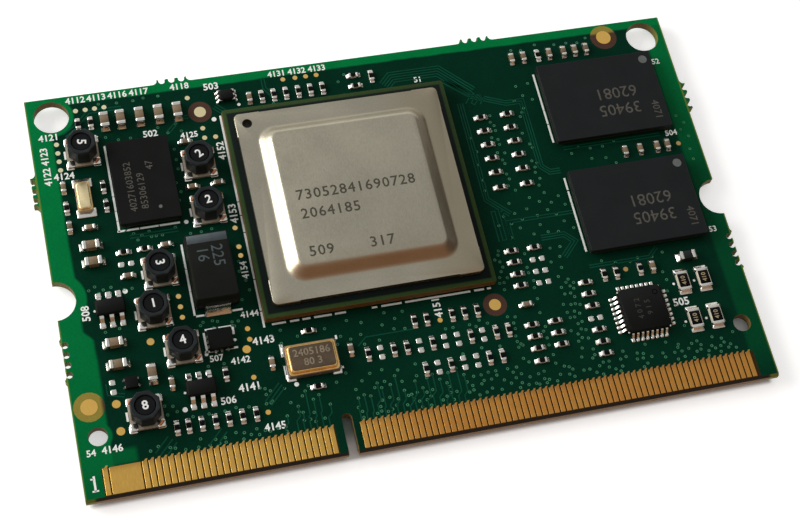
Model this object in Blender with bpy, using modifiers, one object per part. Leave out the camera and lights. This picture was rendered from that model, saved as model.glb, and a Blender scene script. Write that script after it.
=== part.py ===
"""A system on module: a circuit board with an edge connector and the parts soldered to it.

Sizes are written in millimetres times MM, so the model is in metres with +Z up.
Places on the board are read from its left edge (x) and its contact edge (y).
"""
import math

import bmesh
import bpy
import numpy as np
from mathutils import Matrix, Vector

MM = 0.001

# Board: outline, holes and notches
BOARD_WIDTH = 67.6 * MM
BOARD_DEPTH = 42.0 * MM
BOARD_THICKNESS = 1.0 * MM
KEY_FROM_LEFT = 24.8 * MM
KEY_WIDTH = 1.0 * MM
KEY_DEPTH = 4.0 * MM
SIDE_NOTCH_RADIUS = 2.0 * MM
SIDE_NOTCH_UP = 20.0 * MM
MOUNT_HOLE_RADIUS = 1.75 * MM
MOUNT_HOLE_IN = 2.4 * MM
MOUNT_HOLE_DOWN = 2.15 * MM
SMALL_HOLE_RADIUS = 0.9 * MM
SMALL_HOLE_IN = 2.0 * MM
SMALL_HOLE_UP = 6.0 * MM
EDGE_CHAMFER = 0.25 * MM
ROUND_STEPS = 20
KEY_STEPS = 8

# How far a cutter runs on past what it cuts
CUTTER_SPARE = 1.0 * MM

# Remnants of the tabs that held the board in its panel
TAB_REACH = 0.55 * MM
TAB_FOOT_RADIUS = 0.5 * MM
TAB_FOOT_STEPS = 4
TOOTH_DROP = 0.05 * MM
BITE_RADIUS = 0.33 * MM
BITE_PITCH = 1.0 * MM
BITE_STEPS = 6
BITE_ANGLES = (160, 380)
PROUD_BITES = 3
SUNK_BITES = 4
SUNK_BITE_DEPTH = 0.64 * MM
SUNK_BITE_STEPS = 8
SUNK_BITE_ANGLES = (125, 415)
SUNK_SPIKE = 0.15 * MM
LEFT_TAB_UP = 31.85 * MM
RIGHT_TAB_UP = 32.05 * MM
SUNK_TAB_UP = 13.9 * MM
FAR_TABS_FROM_LEFT = (14.85 * MM, 47.0 * MM)

# Edge contacts
CONTACT_PITCH = 0.6 * MM
CONTACT_WIDTH = 0.43 * MM
CONTACT_LENGTH = 2.62 * MM
CONTACT_SLANT = 0.17 * MM
CONTACT_SETBACK = 0.33 * MM
CONTACT_RISE = 0.03 * MM
CONTACT_EDGE_MARGIN = 2.15 * MM
CONTACT_KEY_MARGIN = 1.35 * MM
BACK_CONTACT_SHIFT = 0.3 * MM
JOINED_CONTACTS = range(1, 6)

# Solder: the film under a flat part, and the balls under a grid array
SOLDER_FILM = 0.05 * MM
BALL_HEIGHT = 0.4 * MM
SINK = 0.2 * MM

# Processor
PROCESSOR_AT = (30.52, 25.68)
SUBSTRATE_SIDE = 23.0 * MM
SUBSTRATE_THICKNESS = 0.95 * MM
LID_SIDE = 21.0 * MM
LID_CORNER = 0.4 * MM
LID_THICKNESS = 0.6 * MM
LID_RISE = 1.0 * MM
LID_FOOT_SIDE = 17.05 * MM
LID_FOOT_CORNER = 1.3 * MM
LID_PLATEAU_SIDE = 14.8 * MM
LID_PLATEAU_CORNER = 0.7 * MM
LID_SHOULDER_CORNER = 0.91 * MM
LID_CORNER_STEPS = 4
# Where the lid's slope bends at its foot and at its shoulder: shares of its run and its rise
LID_FOOT_BEND = (0.2, 0.12)
LID_SHOULDER_BEND = (0.75, 0.88)
LID_HOLE_RADIUS = 0.5 * MM
LID_HOLE_IN = 1.2 * MM
DIE_SIZE = (12.0 * MM, 10.5 * MM, 0.75 * MM)

# Memory and power chips
CHIP_SUBSTRATE_THICKNESS = 0.2 * MM
MOULDING_THICKNESS = 0.5 * MM
MEMORY_SIZE = (12.5 * MM, 9.1 * MM)
MEMORY_AT = ((58.58, 32.84), (58.58, 20.27))
POWER_SIZE = (6.0 * MM, 9.1 * MM)
POWER_AT = (10.25, 30.95)
MARK_RADIUS = 0.5 * MM
MARK_DEPTH = 0.08 * MM
MARK_IN = 0.9 * MM

# Power inductors
INDUCTORS_AT = ((4.87, 35.35), (15.93, 32.25), (15.93, 27.12), (10.24, 21.3),
                (8.97, 17.23), (11.03, 13.1), (6.6, 7.37))
INDUCTOR_BASE_SIDE = 3.15 * MM
INDUCTOR_BASE_HEIGHT = 0.35 * MM
INDUCTOR_TERMINAL = 0.75 * MM
INDUCTOR_TERMINAL_HEIGHT = 0.42 * MM
SHIELD_ACROSS = 2.75 * MM
SHIELD_HEIGHT = 1.95 * MM
SHIELD_BORE_RADIUS = 1.0 * MM
CORE_CLEARANCE = 0.06 * MM
CORE_RECESS = 0.12 * MM
CORE_WAIST_RADIUS = 0.45 * MM
CORE_FLANGE = 0.4 * MM
WINDING_CLEARANCE = 0.06 * MM
TURNED_STEPS = 14

# Moulded tantalum capacitor
TANTALUM_AT = (14.97, 20.04)
TANTALUM_SIZE = (4.3 * MM, 7.0 * MM, 2.6 * MM)
TANTALUM_LIFT = 0.2 * MM
TANTALUM_DRAFT = 0.12 * MM
TANTALUM_TERMINAL_WIDTH = 2.4 * MM
TANTALUM_TERMINAL_RISE = 1.2 * MM
TANTALUM_TERMINAL_FOOT = 1.3 * MM
TERMINAL_SHEET = 0.13 * MM

# Oscillator and clock crystal: width, depth and height of the base, then of the lid
OSCILLATOR_AT = (22.73, 9.8)
OSCILLATOR_BASE = (5.0 * MM, 3.2 * MM, 0.7 * MM)
OSCILLATOR_RIM = 0.25 * MM
OSCILLATOR_LID_CORNER = 0.37 * MM
OSCILLATOR_LID_HEIGHT = 0.35 * MM
CLOCK_AT = (4.28, 30.35)
CLOCK_BASE = (1.5 * MM, 3.2 * MM, 0.5 * MM)
CLOCK_RIM = 0.14 * MM
CLOCK_LID_CORNER = 0.21 * MM
CLOCK_LID_HEIGHT = 0.2 * MM

# Chips with gull-wing leads
QUAD_AT = (55.9, 8.93)
QUAD_BODY = (4.6 * MM, 4.6 * MM, 1.0 * MM)
QUAD_CORNER = 0.35 * MM
QUAD_LEADS = 8
QUAD_PITCH = 0.5 * MM
QUAD_LEAD_WIDTH = 0.22 * MM
QUAD_LEAD_REACH = 0.72 * MM
SIX_LEAD_AT = ((5.03, 18.27), (12.0, 8.75))
SIX_LEAD_BODY = (2.85 * MM, 1.6 * MM, 1.0 * MM)
SIX_LEAD_PITCH = 0.95 * MM
SIX_LEAD_WIDTH = 0.4 * MM
SIX_LEAD_REACH = 0.95 * MM
SMALL_SIX_AT = (19.95, 39.45)
SMALL_SIX_BODY = (1.5 * MM, 1.2 * MM, 0.55 * MM)
SMALL_SIX_PITCH = 0.5 * MM
SMALL_SIX_WIDTH = 0.22 * MM
SMALL_SIX_REACH = 0.3 * MM
BODY_LIFT = 0.1 * MM
BODY_DRAFT = 0.12 * MM
LEAD_SHEET = 0.13 * MM
LEAD_ROOT = 0.25 * MM
# Where a lead bends down and where it lands, as shares of its reach
LEAD_SHOULDER = 0.3
LEAD_HEEL = 0.55

# Leadless chips; the small one is soldered down as one with the board
LEADLESS_AT = (14.6, 13.3)
LEADLESS_SIZE = (2.3 * MM, 2.0 * MM, 0.75 * MM)
SMALL_LEADLESS_AT = (5.8, 10.55)
SMALL_LEADLESS_SIZE = (1.25 * MM, 1.1 * MM, 0.5 * MM)

# Chip resistors and capacitors: length, width, height, length of an end cap
LARGE_RESISTOR = (2.0 * MM, 1.25 * MM, 0.5 * MM, 0.4 * MM)
MID_CAPACITOR = (1.6 * MM, 0.85 * MM, 0.8 * MM, 0.35 * MM)
SMALL_RESISTOR = (1.0 * MM, 0.5 * MM, 0.35 * MM, 0.24 * MM)
SMALL_CAPACITOR = (1.0 * MM, 0.5 * MM, 0.5 * MM, 0.26 * MM)
CAP_STEP = 0.03 * MM
LARGE_RESISTORS_AT = ((60.9, 11.3), (63.1, 11.3), (60.9, 7.2), (63.1, 7.2))
FAR_CAPACITORS_AT = ((7.5, 38.45), (9.1, 38.45), (11.0, 38.45), (12.9, 38.45), (14.8, 38.45))
BEAD_AT = (62.1, 13.85)

# Places of the parts that are soldered down as one with the board.
# Upright rows share a y and lie along Y; flat columns share an x and lie along X.
MID_CAPACITORS_FLAT = ((4.2, 25.05), (4.2, 23.3), (4.85, 14.7), (4.87, 12.5))
MID_CAPACITORS_UPRIGHT = ((7.8, 11.1),)
RESISTOR_ROWS = (
    (38.55, (4.88, 6.13)),
    (39.5, (35.15,)),
    (38.9, (23.53, 24.78, 26.04, 27.33, 28.6, 29.87)),
    (39.25, (53.2,)),
    (29.5, (2.5,)),
    (31.25, (6.3,)),
    (29.2, (6.3,)),
    (9.85, (14.52,)),
    (5.45, (9.18, 10.26, 11.5, 12.77, 14.03, 15.3, 16.6)),
    (9.4, (28.16, 30.7, 32.0, 34.55, 38.4, 40.93, 42.2)),
    (6.9, (33.3, 35.8, 39.65, 40.95)),
    (11.95, (33.3, 34.55, 37.1, 38.35, 39.65)),
    (13.45, (53.2, 54.5, 57.0)),
)
CAPACITOR_ROWS = (
    (38.9, (22.25,)),
    (39.25, (50.3, 51.6, 54.45, 56.05, 57.3, 58.55)),
    (31.75, (2.5,)),
    (27.4, (2.5,)),
    (26.6, (59.3, 60.95, 62.8, 63.95)),
    (13.45, (58.3,)),
    (10.15, (18.97, 26.6)),
    (9.85, (9.45,)),
)
RESISTOR_COLUMNS = (
    (7.15, (23.9,)),
    (9.2, (23.95,)),
    (33.3, (39.85, 38.6)),
    (23.05, (12.75,)),
    (22.8, (7.05,)),
    (44.6, (17.55, 16.3, 15.0, 13.75, 9.5, 8.25, 7.0, 5.7)),
    (47.0, (17.55, 9.5, 8.25, 7.0)),
    (45.3, (32.85, 31.25, 29.65, 28.05, 26.4, 24.65)),
    (48.15, (32.85, 31.25, 29.65, 28.05, 26.4, 24.65)),
    (51.1, (12.95, 11.7, 10.4, 7.85, 6.55, 5.3)),
)
CAPACITOR_COLUMNS = (
    (4.4, (27.05,)),
    (11.25, (24.0,)),
    (7.2, (21.35,)),
    (15.0, (34.9,)),
    (14.85, (29.8,)),
    (17.4, (29.85,)),
    (44.6, (11.65,)),
)

# Decoupling capacitors on the underside, in a grid behind the processor
UNDER_COLUMNS = 4
UNDER_ROWS = 4
UNDER_PITCH = 4.4 * MM

# The board that the places above are read on. Columns of parts keep their width, and the
# gaps between them take up a change of the board's width. The fourth is the processor's.
DRAWN_WIDTH = 67.6
DRAWN_DEPTH = 42.0
DRAWN_COLUMNS = ((3.3, 6.45), (7.05, 13.25), (13.4, 17.5), (19.02, 42.02), (44.1, 48.65),
                 (50.05, 64.83))
PROCESSOR_COLUMN = 3

BOARD_GREEN = ("board_green", (0.003, 0.045, 0.022, 1.0), 0.4, 0.0)
GOLD = ("gold", (0.75, 0.5, 0.2, 1.0), 0.3, 1.0)
LID_NICKEL = ("lid_nickel", (0.42, 0.39, 0.33, 1.0), 0.35, 1.0)
SILICON = ("silicon", (0.1, 0.1, 0.12, 1.0), 0.2, 0.3)
MOULDING = ("moulding", (0.012, 0.013, 0.014, 1.0), 0.55, 0.0)
FERRITE = ("ferrite", (0.03, 0.032, 0.035, 1.0), 0.6, 0.0)
COPPER = ("copper", (0.72, 0.25, 0.1, 1.0), 0.35, 1.0)
TIN = ("tin", (0.7, 0.7, 0.68, 1.0), 0.35, 1.0)
CERAMIC = ("ceramic", (0.35, 0.28, 0.2, 1.0), 0.5, 0.0)
LAMINATE = ("laminate", (0.02, 0.07, 0.03, 1.0), 0.5, 0.0)
CAPACITOR_TAN = ("capacitor_tan", (0.3, 0.18, 0.1, 1.0), 0.5, 0.0)
RESISTOR_BLACK = ("resistor_black", (0.02, 0.02, 0.022, 1.0), 0.4, 0.0)

PARTS = "system_on_module"
CUTTERS = "cutters"


def finish(spec):
    """The Principled material of a finish: its name, colour, roughness and metallic value."""
    name, colour, roughness, metallic = spec
    material = bpy.data.materials.get(name)
    if material is None:
        material = bpy.data.materials.new(name)
        material.use_nodes = True
        shader = material.node_tree.nodes["Principled BSDF"]
        shader.inputs["Base Color"].default_value = colour
        shader.inputs["Roughness"].default_value = roughness
        shader.inputs["Metallic"].default_value = metallic
        material.diffuse_color = colour
    return material


def start():
    """An empty scene, the two collections, and the empty that carries every piece."""
    for thing in list(bpy.data.objects):
        bpy.data.objects.remove(thing, do_unlink=True)
    for name in (PARTS, CUTTERS):
        bpy.context.scene.collection.children.link(bpy.data.collections.new(name))
    corner = bpy.data.objects.new("board_corner", None)
    corner.location = (-BOARD_WIDTH / 2, -(BOARD_DEPTH + TAB_REACH) / 2,
                       SMALL_CAPACITOR[2] + BOARD_THICKNESS)
    bpy.data.collections[PARTS].objects.link(corner)
    return corner


def column_marks():
    """The sides of each column as drawn, and where they are on the board as it is made."""
    widths = [(right - left) * MM for left, right in DRAWN_COLUMNS]
    slack_drawn = DRAWN_WIDTH * MM - sum(widths)
    widths[PROCESSOR_COLUMN] = SUBSTRATE_SIDE
    stretch = (BOARD_WIDTH - sum(widths)) / slack_drawn
    drawn, real = [0.0], [0.0]
    for (left, right), width in zip(DRAWN_COLUMNS, widths):
        start_x = real[-1] + (left - drawn[-1]) * MM * stretch
        drawn += [left, right]
        real += [start_x, start_x + width]
    return drawn + [DRAWN_WIDTH], real + [BOARD_WIDTH]


def row_marks(x):
    """The same along Y, where only the processor's own rows keep their depth."""
    left, right = DRAWN_COLUMNS[PROCESSOR_COLUMN]
    if not left <= x <= right:
        return (0.0, DRAWN_DEPTH), (0.0, BOARD_DEPTH)
    drawn_half = (right - left) / 2
    middle = PROCESSOR_AT[1] / DRAWN_DEPTH * BOARD_DEPTH
    return ((0.0, PROCESSOR_AT[1] - drawn_half, PROCESSOR_AT[1] + drawn_half, DRAWN_DEPTH),
            (0.0, middle - SUBSTRATE_SIDE / 2, middle + SUBSTRATE_SIDE / 2, BOARD_DEPTH))


def spot(x, y):
    """A place drawn in millimetres, moved with the board's edges and the processor's sides."""
    return float(np.interp(x, *column_marks())), float(np.interp(y, *row_marks(x)))


def piece(name, mesh, spec, at=(0.0, 0.0), height=0.0, turn=0.0):
    """A named piece on the board: its mesh, its finish and where it is."""
    made = bpy.data.objects.new(name, mesh)
    made.location = (at[0], at[1], height)
    made.rotation_euler.z = turn
    if not mesh.materials:
        mesh.materials.append(finish(spec))
    made.parent = CORNER
    bpy.data.collections[PARTS].objects.link(made)
    return made


def tool(name, mesh, spec=None, at=(0.0, 0.0), height=0.0, turn=(0.0, 0.0, 0.0)):
    """A shape that cuts a piece or is joined to it, and isn't a piece itself."""
    made = bpy.data.objects.new(name, mesh)
    made.location = (at[0], at[1], height)
    made.rotation_euler = turn
    made.parent = CORNER
    made.hide_render = True
    made.display_type = 'WIRE'
    if spec and not mesh.materials:
        mesh.materials.append(finish(spec))
    bpy.data.collections[CUTTERS].objects.link(made)
    return made


def combine(made, other, operation):
    """A Boolean modifier that keeps each shape's own finish."""
    modifier = made.modifiers.new(other.name, 'BOOLEAN')
    modifier.operation = operation
    modifier.solver = 'EXACT'
    modifier.material_mode = 'TRANSFER'
    modifier.object = other


def mesh_from(bm, name):
    """A mesh with the bmesh's faces, all facing out."""
    bmesh.ops.recalc_face_normals(bm, faces=bm.faces)
    mesh = bpy.data.meshes.new(name)
    bm.to_mesh(mesh)
    bm.free()
    return mesh


def block(name, size):
    """A box that stands on its own origin."""
    bm = bmesh.new()
    bmesh.ops.create_cube(bm, size=1.0)
    bmesh.ops.translate(bm, vec=(0.0, 0.0, 0.5), verts=bm.verts)
    bmesh.ops.scale(bm, vec=size, verts=bm.verts)
    return mesh_from(bm, name)


def disc(name, radius, height, steps=ROUND_STEPS, turn=0.0):
    """An upright cylinder or prism that stands on its own origin."""
    bm = bmesh.new()
    bmesh.ops.create_cone(bm, cap_ends=True, segments=steps, radius1=radius, radius2=radius,
                          depth=height, matrix=Matrix.Rotation(turn, 4, 'Z'))
    bmesh.ops.translate(bm, vec=(0.0, 0.0, height / 2), verts=bm.verts)
    return mesh_from(bm, name)


def plate(name, loops, thickness):
    """A flat outline, with any inner loops as holes, as a plate about its own plane."""
    curve = bpy.data.curves.new(name, 'CURVE')
    curve.dimensions = '2D'
    curve.fill_mode = 'BOTH'
    curve.extrude = thickness / 2
    for loop in loops:
        spline = curve.splines.new('POLY')
        spline.points.add(len(loop) - 1)
        spline.use_cyclic_u = True
        for point, (x, y) in zip(spline.points, loop):
            point.co = (x, y, 0.0, 1.0)
    holder = bpy.data.objects.new(name, curve)
    bpy.data.collections[CUTTERS].objects.link(holder)
    graph = bpy.context.evaluated_depsgraph_get()
    mesh = bpy.data.meshes.new_from_object(holder.evaluated_get(graph))
    bpy.data.objects.remove(holder, do_unlink=True)
    mesh.materials.clear()
    bm = bmesh.new()
    bm.from_mesh(mesh)
    bmesh.ops.remove_doubles(bm, verts=bm.verts, dist=1e-7)
    bmesh.ops.recalc_face_normals(bm, faces=bm.faces)
    bm.to_mesh(mesh)
    bm.free()
    return mesh


def copies(name, mesh, places):
    """One mesh with a copy of another at each place: x, y, height and turn about Z."""
    bm = bmesh.new()
    for x, y, height, turn in places:
        first = len(bm.verts)
        bm.from_mesh(mesh)
        bm.verts.ensure_lookup_table()
        move = Matrix.Translation((x, y, height)) @ Matrix.Rotation(turn, 4, 'Z')
        bmesh.ops.transform(bm, matrix=move, verts=bm.verts[first:])
    return mesh_from(bm, name)


def loft(name, rings, close_low=True):
    """A form through anticlockwise rings, closed at the top and, if asked, below."""
    bm = bmesh.new()
    rows = [[bm.verts.new(point) for point in ring] for ring in rings]
    for low, high in zip(rows, rows[1:]):
        for a in range(len(low)):
            b = (a + 1) % len(low)
            bm.faces.new((low[a], low[b], high[b], high[a]))
    bm.faces.new(rows[-1])
    if close_low:
        bm.faces.new(reversed(rows[0]))
    mesh = bpy.data.meshes.new(name)
    bm.to_mesh(mesh)
    bm.free()
    return mesh


def arc(centre, radius, first, last, steps):
    """Points on an arc, with its angles in degrees."""
    angles = np.radians(np.linspace(first, last, steps + 1))
    return [(centre[0] + radius * math.cos(a), centre[1] + radius * math.sin(a)) for a in angles]


def rounded(width, depth, corner, steps):
    """A rectangle with round corners; one step makes them cut corners."""
    points = []
    for quarter, (sx, sy) in enumerate(((1, 1), (-1, 1), (-1, -1), (1, -1))):
        centre = (sx * (width / 2 - corner), sy * (depth / 2 - corner))
        points += arc(centre, corner, 90 * quarter, 90 * quarter + 90, steps)
    return points


def raised(outline, height):
    """An outline's points at a height."""
    return [(x, y, height) for x, y in outline]


def proud_tab():
    """A tab remnant: along the edge and outwards, from concave foot to concave foot."""
    half = PROUD_BITES * BITE_PITCH / 2
    foot = arc((-half - TAB_FOOT_RADIUS, TAB_REACH), TAB_REACH, -90, 0, TAB_FOOT_STEPS)
    run = [(min(along, -half), out) for along, out in foot]
    for number in range(PROUD_BITES):
        middle = (number - (PROUD_BITES - 1) / 2) * BITE_PITCH
        run += arc((middle, BITE_RADIUS), BITE_RADIUS, *BITE_ANGLES, BITE_STEPS)
        if number < PROUD_BITES - 1:
            run.append((middle + BITE_PITCH / 2, TAB_REACH - TOOTH_DROP))
    return run + [(-along, out) for along, out in reversed(foot)]


def sunk_tab():
    """A tab that broke off along its holes: scallops in the edge between two small spikes."""
    half = (SUNK_BITES * BITE_PITCH) / 2
    centre = BITE_RADIUS - SUNK_BITE_DEPTH
    run = [(-half - BITE_PITCH / 4, 0.0), (-half, SUNK_SPIKE)]
    for number in range(SUNK_BITES):
        middle = (number - (SUNK_BITES - 1) / 2) * BITE_PITCH
        run += arc((middle, centre), BITE_RADIUS, *SUNK_BITE_ANGLES, SUNK_BITE_STEPS)
        if number < SUNK_BITES - 1:
            run.append((middle + BITE_PITCH / 2, 0.0))
    run += [(half, SUNK_SPIKE), (half + BITE_PITCH / 4, 0.0)]
    return run


def side_notch():
    """The half-round notch in a short side, which the socket's latch enters."""
    return arc((0.0, 0.0), SIDE_NOTCH_RADIUS, 180, 360, ROUND_STEPS // 2)


def board_outline():
    """The board's outline, anticlockwise from its left corner on the contact edge."""
    key_left = KEY_FROM_LEFT - KEY_WIDTH / 2
    key_top = KEY_DEPTH - KEY_WIDTH / 2
    outline = [(0.0, 0.0), (key_left, 0.0)]
    outline += arc((KEY_FROM_LEFT, key_top), KEY_WIDTH / 2, 180, 0, KEY_STEPS)
    outline += [(key_left + KEY_WIDTH, 0.0), (BOARD_WIDTH, 0.0)]
    for up, shape in ((SUNK_TAB_UP, sunk_tab()), (SIDE_NOTCH_UP, side_notch()),
                      (RIGHT_TAB_UP, proud_tab())):
        outline += [(BOARD_WIDTH + out, up + along) for along, out in shape]
    outline.append((BOARD_WIDTH, BOARD_DEPTH))
    for from_left in reversed(FAR_TABS_FROM_LEFT):
        outline += [(from_left - along, BOARD_DEPTH + out) for along, out in proud_tab()]
    outline.append((0.0, BOARD_DEPTH))
    for up, shape in ((LEFT_TAB_UP, proud_tab()), (SIDE_NOTCH_UP, side_notch()),
                      (SUNK_TAB_UP, sunk_tab())):
        outline += [(-out, up - along) for along, out in shape]
    return outline


def board_holes():
    """The two mounting holes at the far corners and the two small ones by the contacts."""
    holes = []
    for inset, up, radius in ((MOUNT_HOLE_IN, BOARD_DEPTH - MOUNT_HOLE_DOWN, MOUNT_HOLE_RADIUS),
                              (SMALL_HOLE_IN, SMALL_HOLE_UP, SMALL_HOLE_RADIUS)):
        for x in (inset, BOARD_WIDTH - inset):
            holes.append(arc((x, up), radius, 0, 360, ROUND_STEPS)[:-1])
    return holes


def contact_spans(shift=0.0):
    """The left and right x of each contact, as many as fit on each side of the key."""
    spans = []
    reaches = ((CONTACT_EDGE_MARGIN + shift, KEY_FROM_LEFT - CONTACT_KEY_MARGIN),
               (KEY_FROM_LEFT + CONTACT_KEY_MARGIN + shift, BOARD_WIDTH - CONTACT_EDGE_MARGIN))
    for first, last in reaches:
        count = int((last - first) / CONTACT_PITCH + 1e-6) + 1
        middles = [first + number * CONTACT_PITCH for number in range(count)]
        spans.append([(x - CONTACT_WIDTH / 2, x + CONTACT_WIDTH / 2) for x in middles])
    left, right = spans
    joined = [left[number] for number in JOINED_CONTACTS if number < len(left)]
    if joined and not shift:
        kept = [span for number, span in enumerate(left) if number not in JOINED_CONTACTS]
        left = kept + [(joined[0][0], joined[-1][1])]
    return left + right


def contacts(name, low, high, shift):
    """A row of contacts that reach into the board, each with a slanted upper end."""
    bm = bmesh.new()
    near, far = CONTACT_SETBACK, CONTACT_SETBACK + CONTACT_LENGTH
    for left, right in contact_spans(shift):
        slant = CONTACT_SLANT if right - left < CONTACT_PITCH else 0.0
        outline = ((left, near), (right, near), (right, far + slant), (left, far - slant))
        foot, top = ([bm.verts.new((x, y, z)) for x, y in outline] for z in (low, high))
        bm.faces.new(foot)
        bm.faces.new(top)
        for a in range(4):
            b = (a + 1) % 4
            bm.faces.new((foot[a], foot[b], top[b], top[a]))
    return tool(name, mesh_from(bm, name), GOLD)


def chip_mesh(name, size, sink=0.0):
    """A chip resistor or capacitor along X: its end caps stand a step above its body."""
    length, width, height, cap = size
    half, inner, top = length / 2, length / 2 - cap, height - CAP_STEP
    side = [(-half, -sink), (half, -sink), (half, height), (inner, height),
            (inner, top), (-inner, top), (-inner, height), (-half, height)]
    mesh = plate(name, [side], width)
    mesh.transform(Matrix.Rotation(math.pi / 2, 4, 'X'))
    return mesh


def places_in(rows, columns, height=0.0):
    """The places of the upright rows and the flat columns, for copies()."""
    upright = [(*spot(x, y), height, math.pi / 2) for y, row in rows for x in row]
    flat = [(*spot(x, y), height, 0.0) for x, column in columns for y in column]
    return upright + flat


def circuit_board():
    """The board with its contacts and the smallest chips, which are soldered down as one."""
    mesh = plate("circuit_board", [board_outline()] + board_holes(), BOARD_THICKNESS)
    board = piece("circuit_board", mesh, BOARD_GREEN, height=-BOARD_THICKNESS / 2)
    side = EDGE_CHAMFER + CUTTER_SPARE
    out = side / 2 - EDGE_CHAMFER / math.sqrt(2)
    for name, height, up in (("near_top_edge", 0.0, 1), ("near_low_edge", -BOARD_THICKNESS, -1)):
        bar = block(name, (BOARD_WIDTH + 2 * CUTTER_SPARE, side, side))
        bar.transform(Matrix.Translation((0.0, 0.0, -side / 2)))
        lean = out / math.sqrt(2)
        combine(board, tool(name, bar, BOARD_GREEN, (BOARD_WIDTH / 2, -lean),
                            height + up * lean, (math.pi / 4, 0.0, 0.0)), 'DIFFERENCE')
    sunk = EDGE_CHAMFER / 2
    combine(board, contacts("top_contacts", -sunk, CONTACT_RISE, 0.0), 'UNION')
    combine(board, contacts("back_contacts", -BOARD_THICKNESS - CONTACT_RISE,
                            -BOARD_THICKNESS + sunk, BACK_CONTACT_SHIFT), 'UNION')
    small = chip_mesh("resistor", SMALL_RESISTOR, SINK)
    combine(board, tool("small_resistors", copies(
        "small_resistors", small, places_in(RESISTOR_ROWS, RESISTOR_COLUMNS)),
        RESISTOR_BLACK), 'UNION')
    tall = chip_mesh("capacitor", SMALL_CAPACITOR, SINK)
    combine(board, tool("small_capacitors", copies(
        "small_capacitors", tall, places_in(CAPACITOR_ROWS, CAPACITOR_COLUMNS)),
        CAPACITOR_TAN), 'UNION')
    mid = chip_mesh("mid_capacitor", MID_CAPACITOR, SINK)
    mid_places = [(*spot(x, y), 0.0, 0.0) for x, y in MID_CAPACITORS_FLAT]
    mid_places += [(*spot(x, y), 0.0, math.pi / 2) for x, y in MID_CAPACITORS_UPRIGHT]
    combine(board, tool("mid_capacitors", copies("mid_capacitors", mid, mid_places),
                        CAPACITOR_TAN), 'UNION')
    combine(board, under_capacitors(), 'UNION')
    width, depth, height = SMALL_LEADLESS_SIZE
    combine(board, tool("small_leadless_chip",
                        block("small_leadless_chip", (width, depth, height + SINK)), MOULDING,
                        spot(*SMALL_LEADLESS_AT), -SINK), 'UNION')
    return board


def under_capacitors():
    """The capacitors on the underside: a grid centred behind the processor."""
    mesh = chip_mesh("under_capacitor", SMALL_CAPACITOR, SINK)
    mesh.transform(Matrix.Rotation(math.pi, 4, 'X'))
    middle = spot(*PROCESSOR_AT)
    places = []
    for column in range(UNDER_COLUMNS):
        for row in range(UNDER_ROWS):
            x = middle[0] + (column - (UNDER_COLUMNS - 1) / 2) * UNDER_PITCH
            y = middle[1] + (row - (UNDER_ROWS - 1) / 2) * UNDER_PITCH
            places.append((x, y, -BOARD_THICKNESS, math.pi / 2 * ((row + column) % 2)))
    return tool("under_capacitors", copies("under_capacitors", mesh, places), CAPACITOR_TAN)


def processor():
    """The processor: substrate on its balls, die, and the stamped lid over the die."""
    at = spot(*PROCESSOR_AT)
    substrate_top = BALL_HEIGHT + SUBSTRATE_THICKNESS
    piece("processor_substrate",
          block("processor_substrate", (SUBSTRATE_SIDE, SUBSTRATE_SIDE, SUBSTRATE_THICKNESS)),
          LAMINATE, at, BALL_HEIGHT)
    piece("processor_die", block("processor_die", DIE_SIZE), SILICON, at,
          substrate_top + SOLDER_FILM)

    def level(side, corner, height):
        return raised(rounded(side, side, corner, LID_CORNER_STEPS), height)

    def bend(shares, corner):
        run, rise = shares
        side = LID_FOOT_SIDE - (LID_FOOT_SIDE - LID_PLATEAU_SIDE) * run
        return level(side, corner, LID_RISE * rise)

    rings = [level(LID_SIDE, LID_CORNER, 0.0),
             level(LID_FOOT_SIDE, LID_FOOT_CORNER, 0.0),
             bend(LID_FOOT_BEND, LID_FOOT_CORNER),
             bend(LID_SHOULDER_BEND, LID_SHOULDER_CORNER),
             level(LID_PLATEAU_SIDE, LID_PLATEAU_CORNER, LID_RISE)]
    skin = loft("processor_lid", rings, close_low=False)
    lid = piece("processor_lid", skin, LID_NICKEL, at,
                substrate_top + SOLDER_FILM + LID_THICKNESS)
    shell = lid.modifiers.new("sheet", 'SOLIDIFY')
    shell.thickness = LID_THICKNESS
    shell.offset = -1.0
    shell.use_even_offset = True
    corner = LID_SIDE / 2 - LID_HOLE_IN
    hole = disc("lid_hole", LID_HOLE_RADIUS, LID_THICKNESS + 2 * CUTTER_SPARE)
    combine(lid, tool("lid_hole", hole, LID_NICKEL, (at[0] - corner, at[1] + corner),
                      substrate_top + SOLDER_FILM - CUTTER_SPARE), 'DIFFERENCE')
    return lid


def grid_chip(name, size, at, mark):
    """A moulded chip on a thin substrate, with a round mark sunk near one corner."""
    width, depth = size
    place = spot(*at)
    piece(name + "_substrate", block(name + "_substrate", (width, depth, CHIP_SUBSTRATE_THICKNESS)),
          LAMINATE, place, BALL_HEIGHT)
    low = BALL_HEIGHT + CHIP_SUBSTRATE_THICKNESS + SOLDER_FILM
    body = piece(name + "_moulding", block(name + "_moulding", (width, depth, MOULDING_THICKNESS)),
                 MOULDING, place, low)
    spot_at = (place[0] + mark[0] * (width / 2 - MARK_IN), place[1] + mark[1] * (depth / 2 - MARK_IN))
    combine(body, tool(name + "_mark",
                       disc(name + "_mark", MARK_RADIUS, MARK_DEPTH + CUTTER_SPARE), MOULDING,
                       spot_at, low + MOULDING_THICKNESS - MARK_DEPTH), 'DIFFERENCE')


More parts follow.
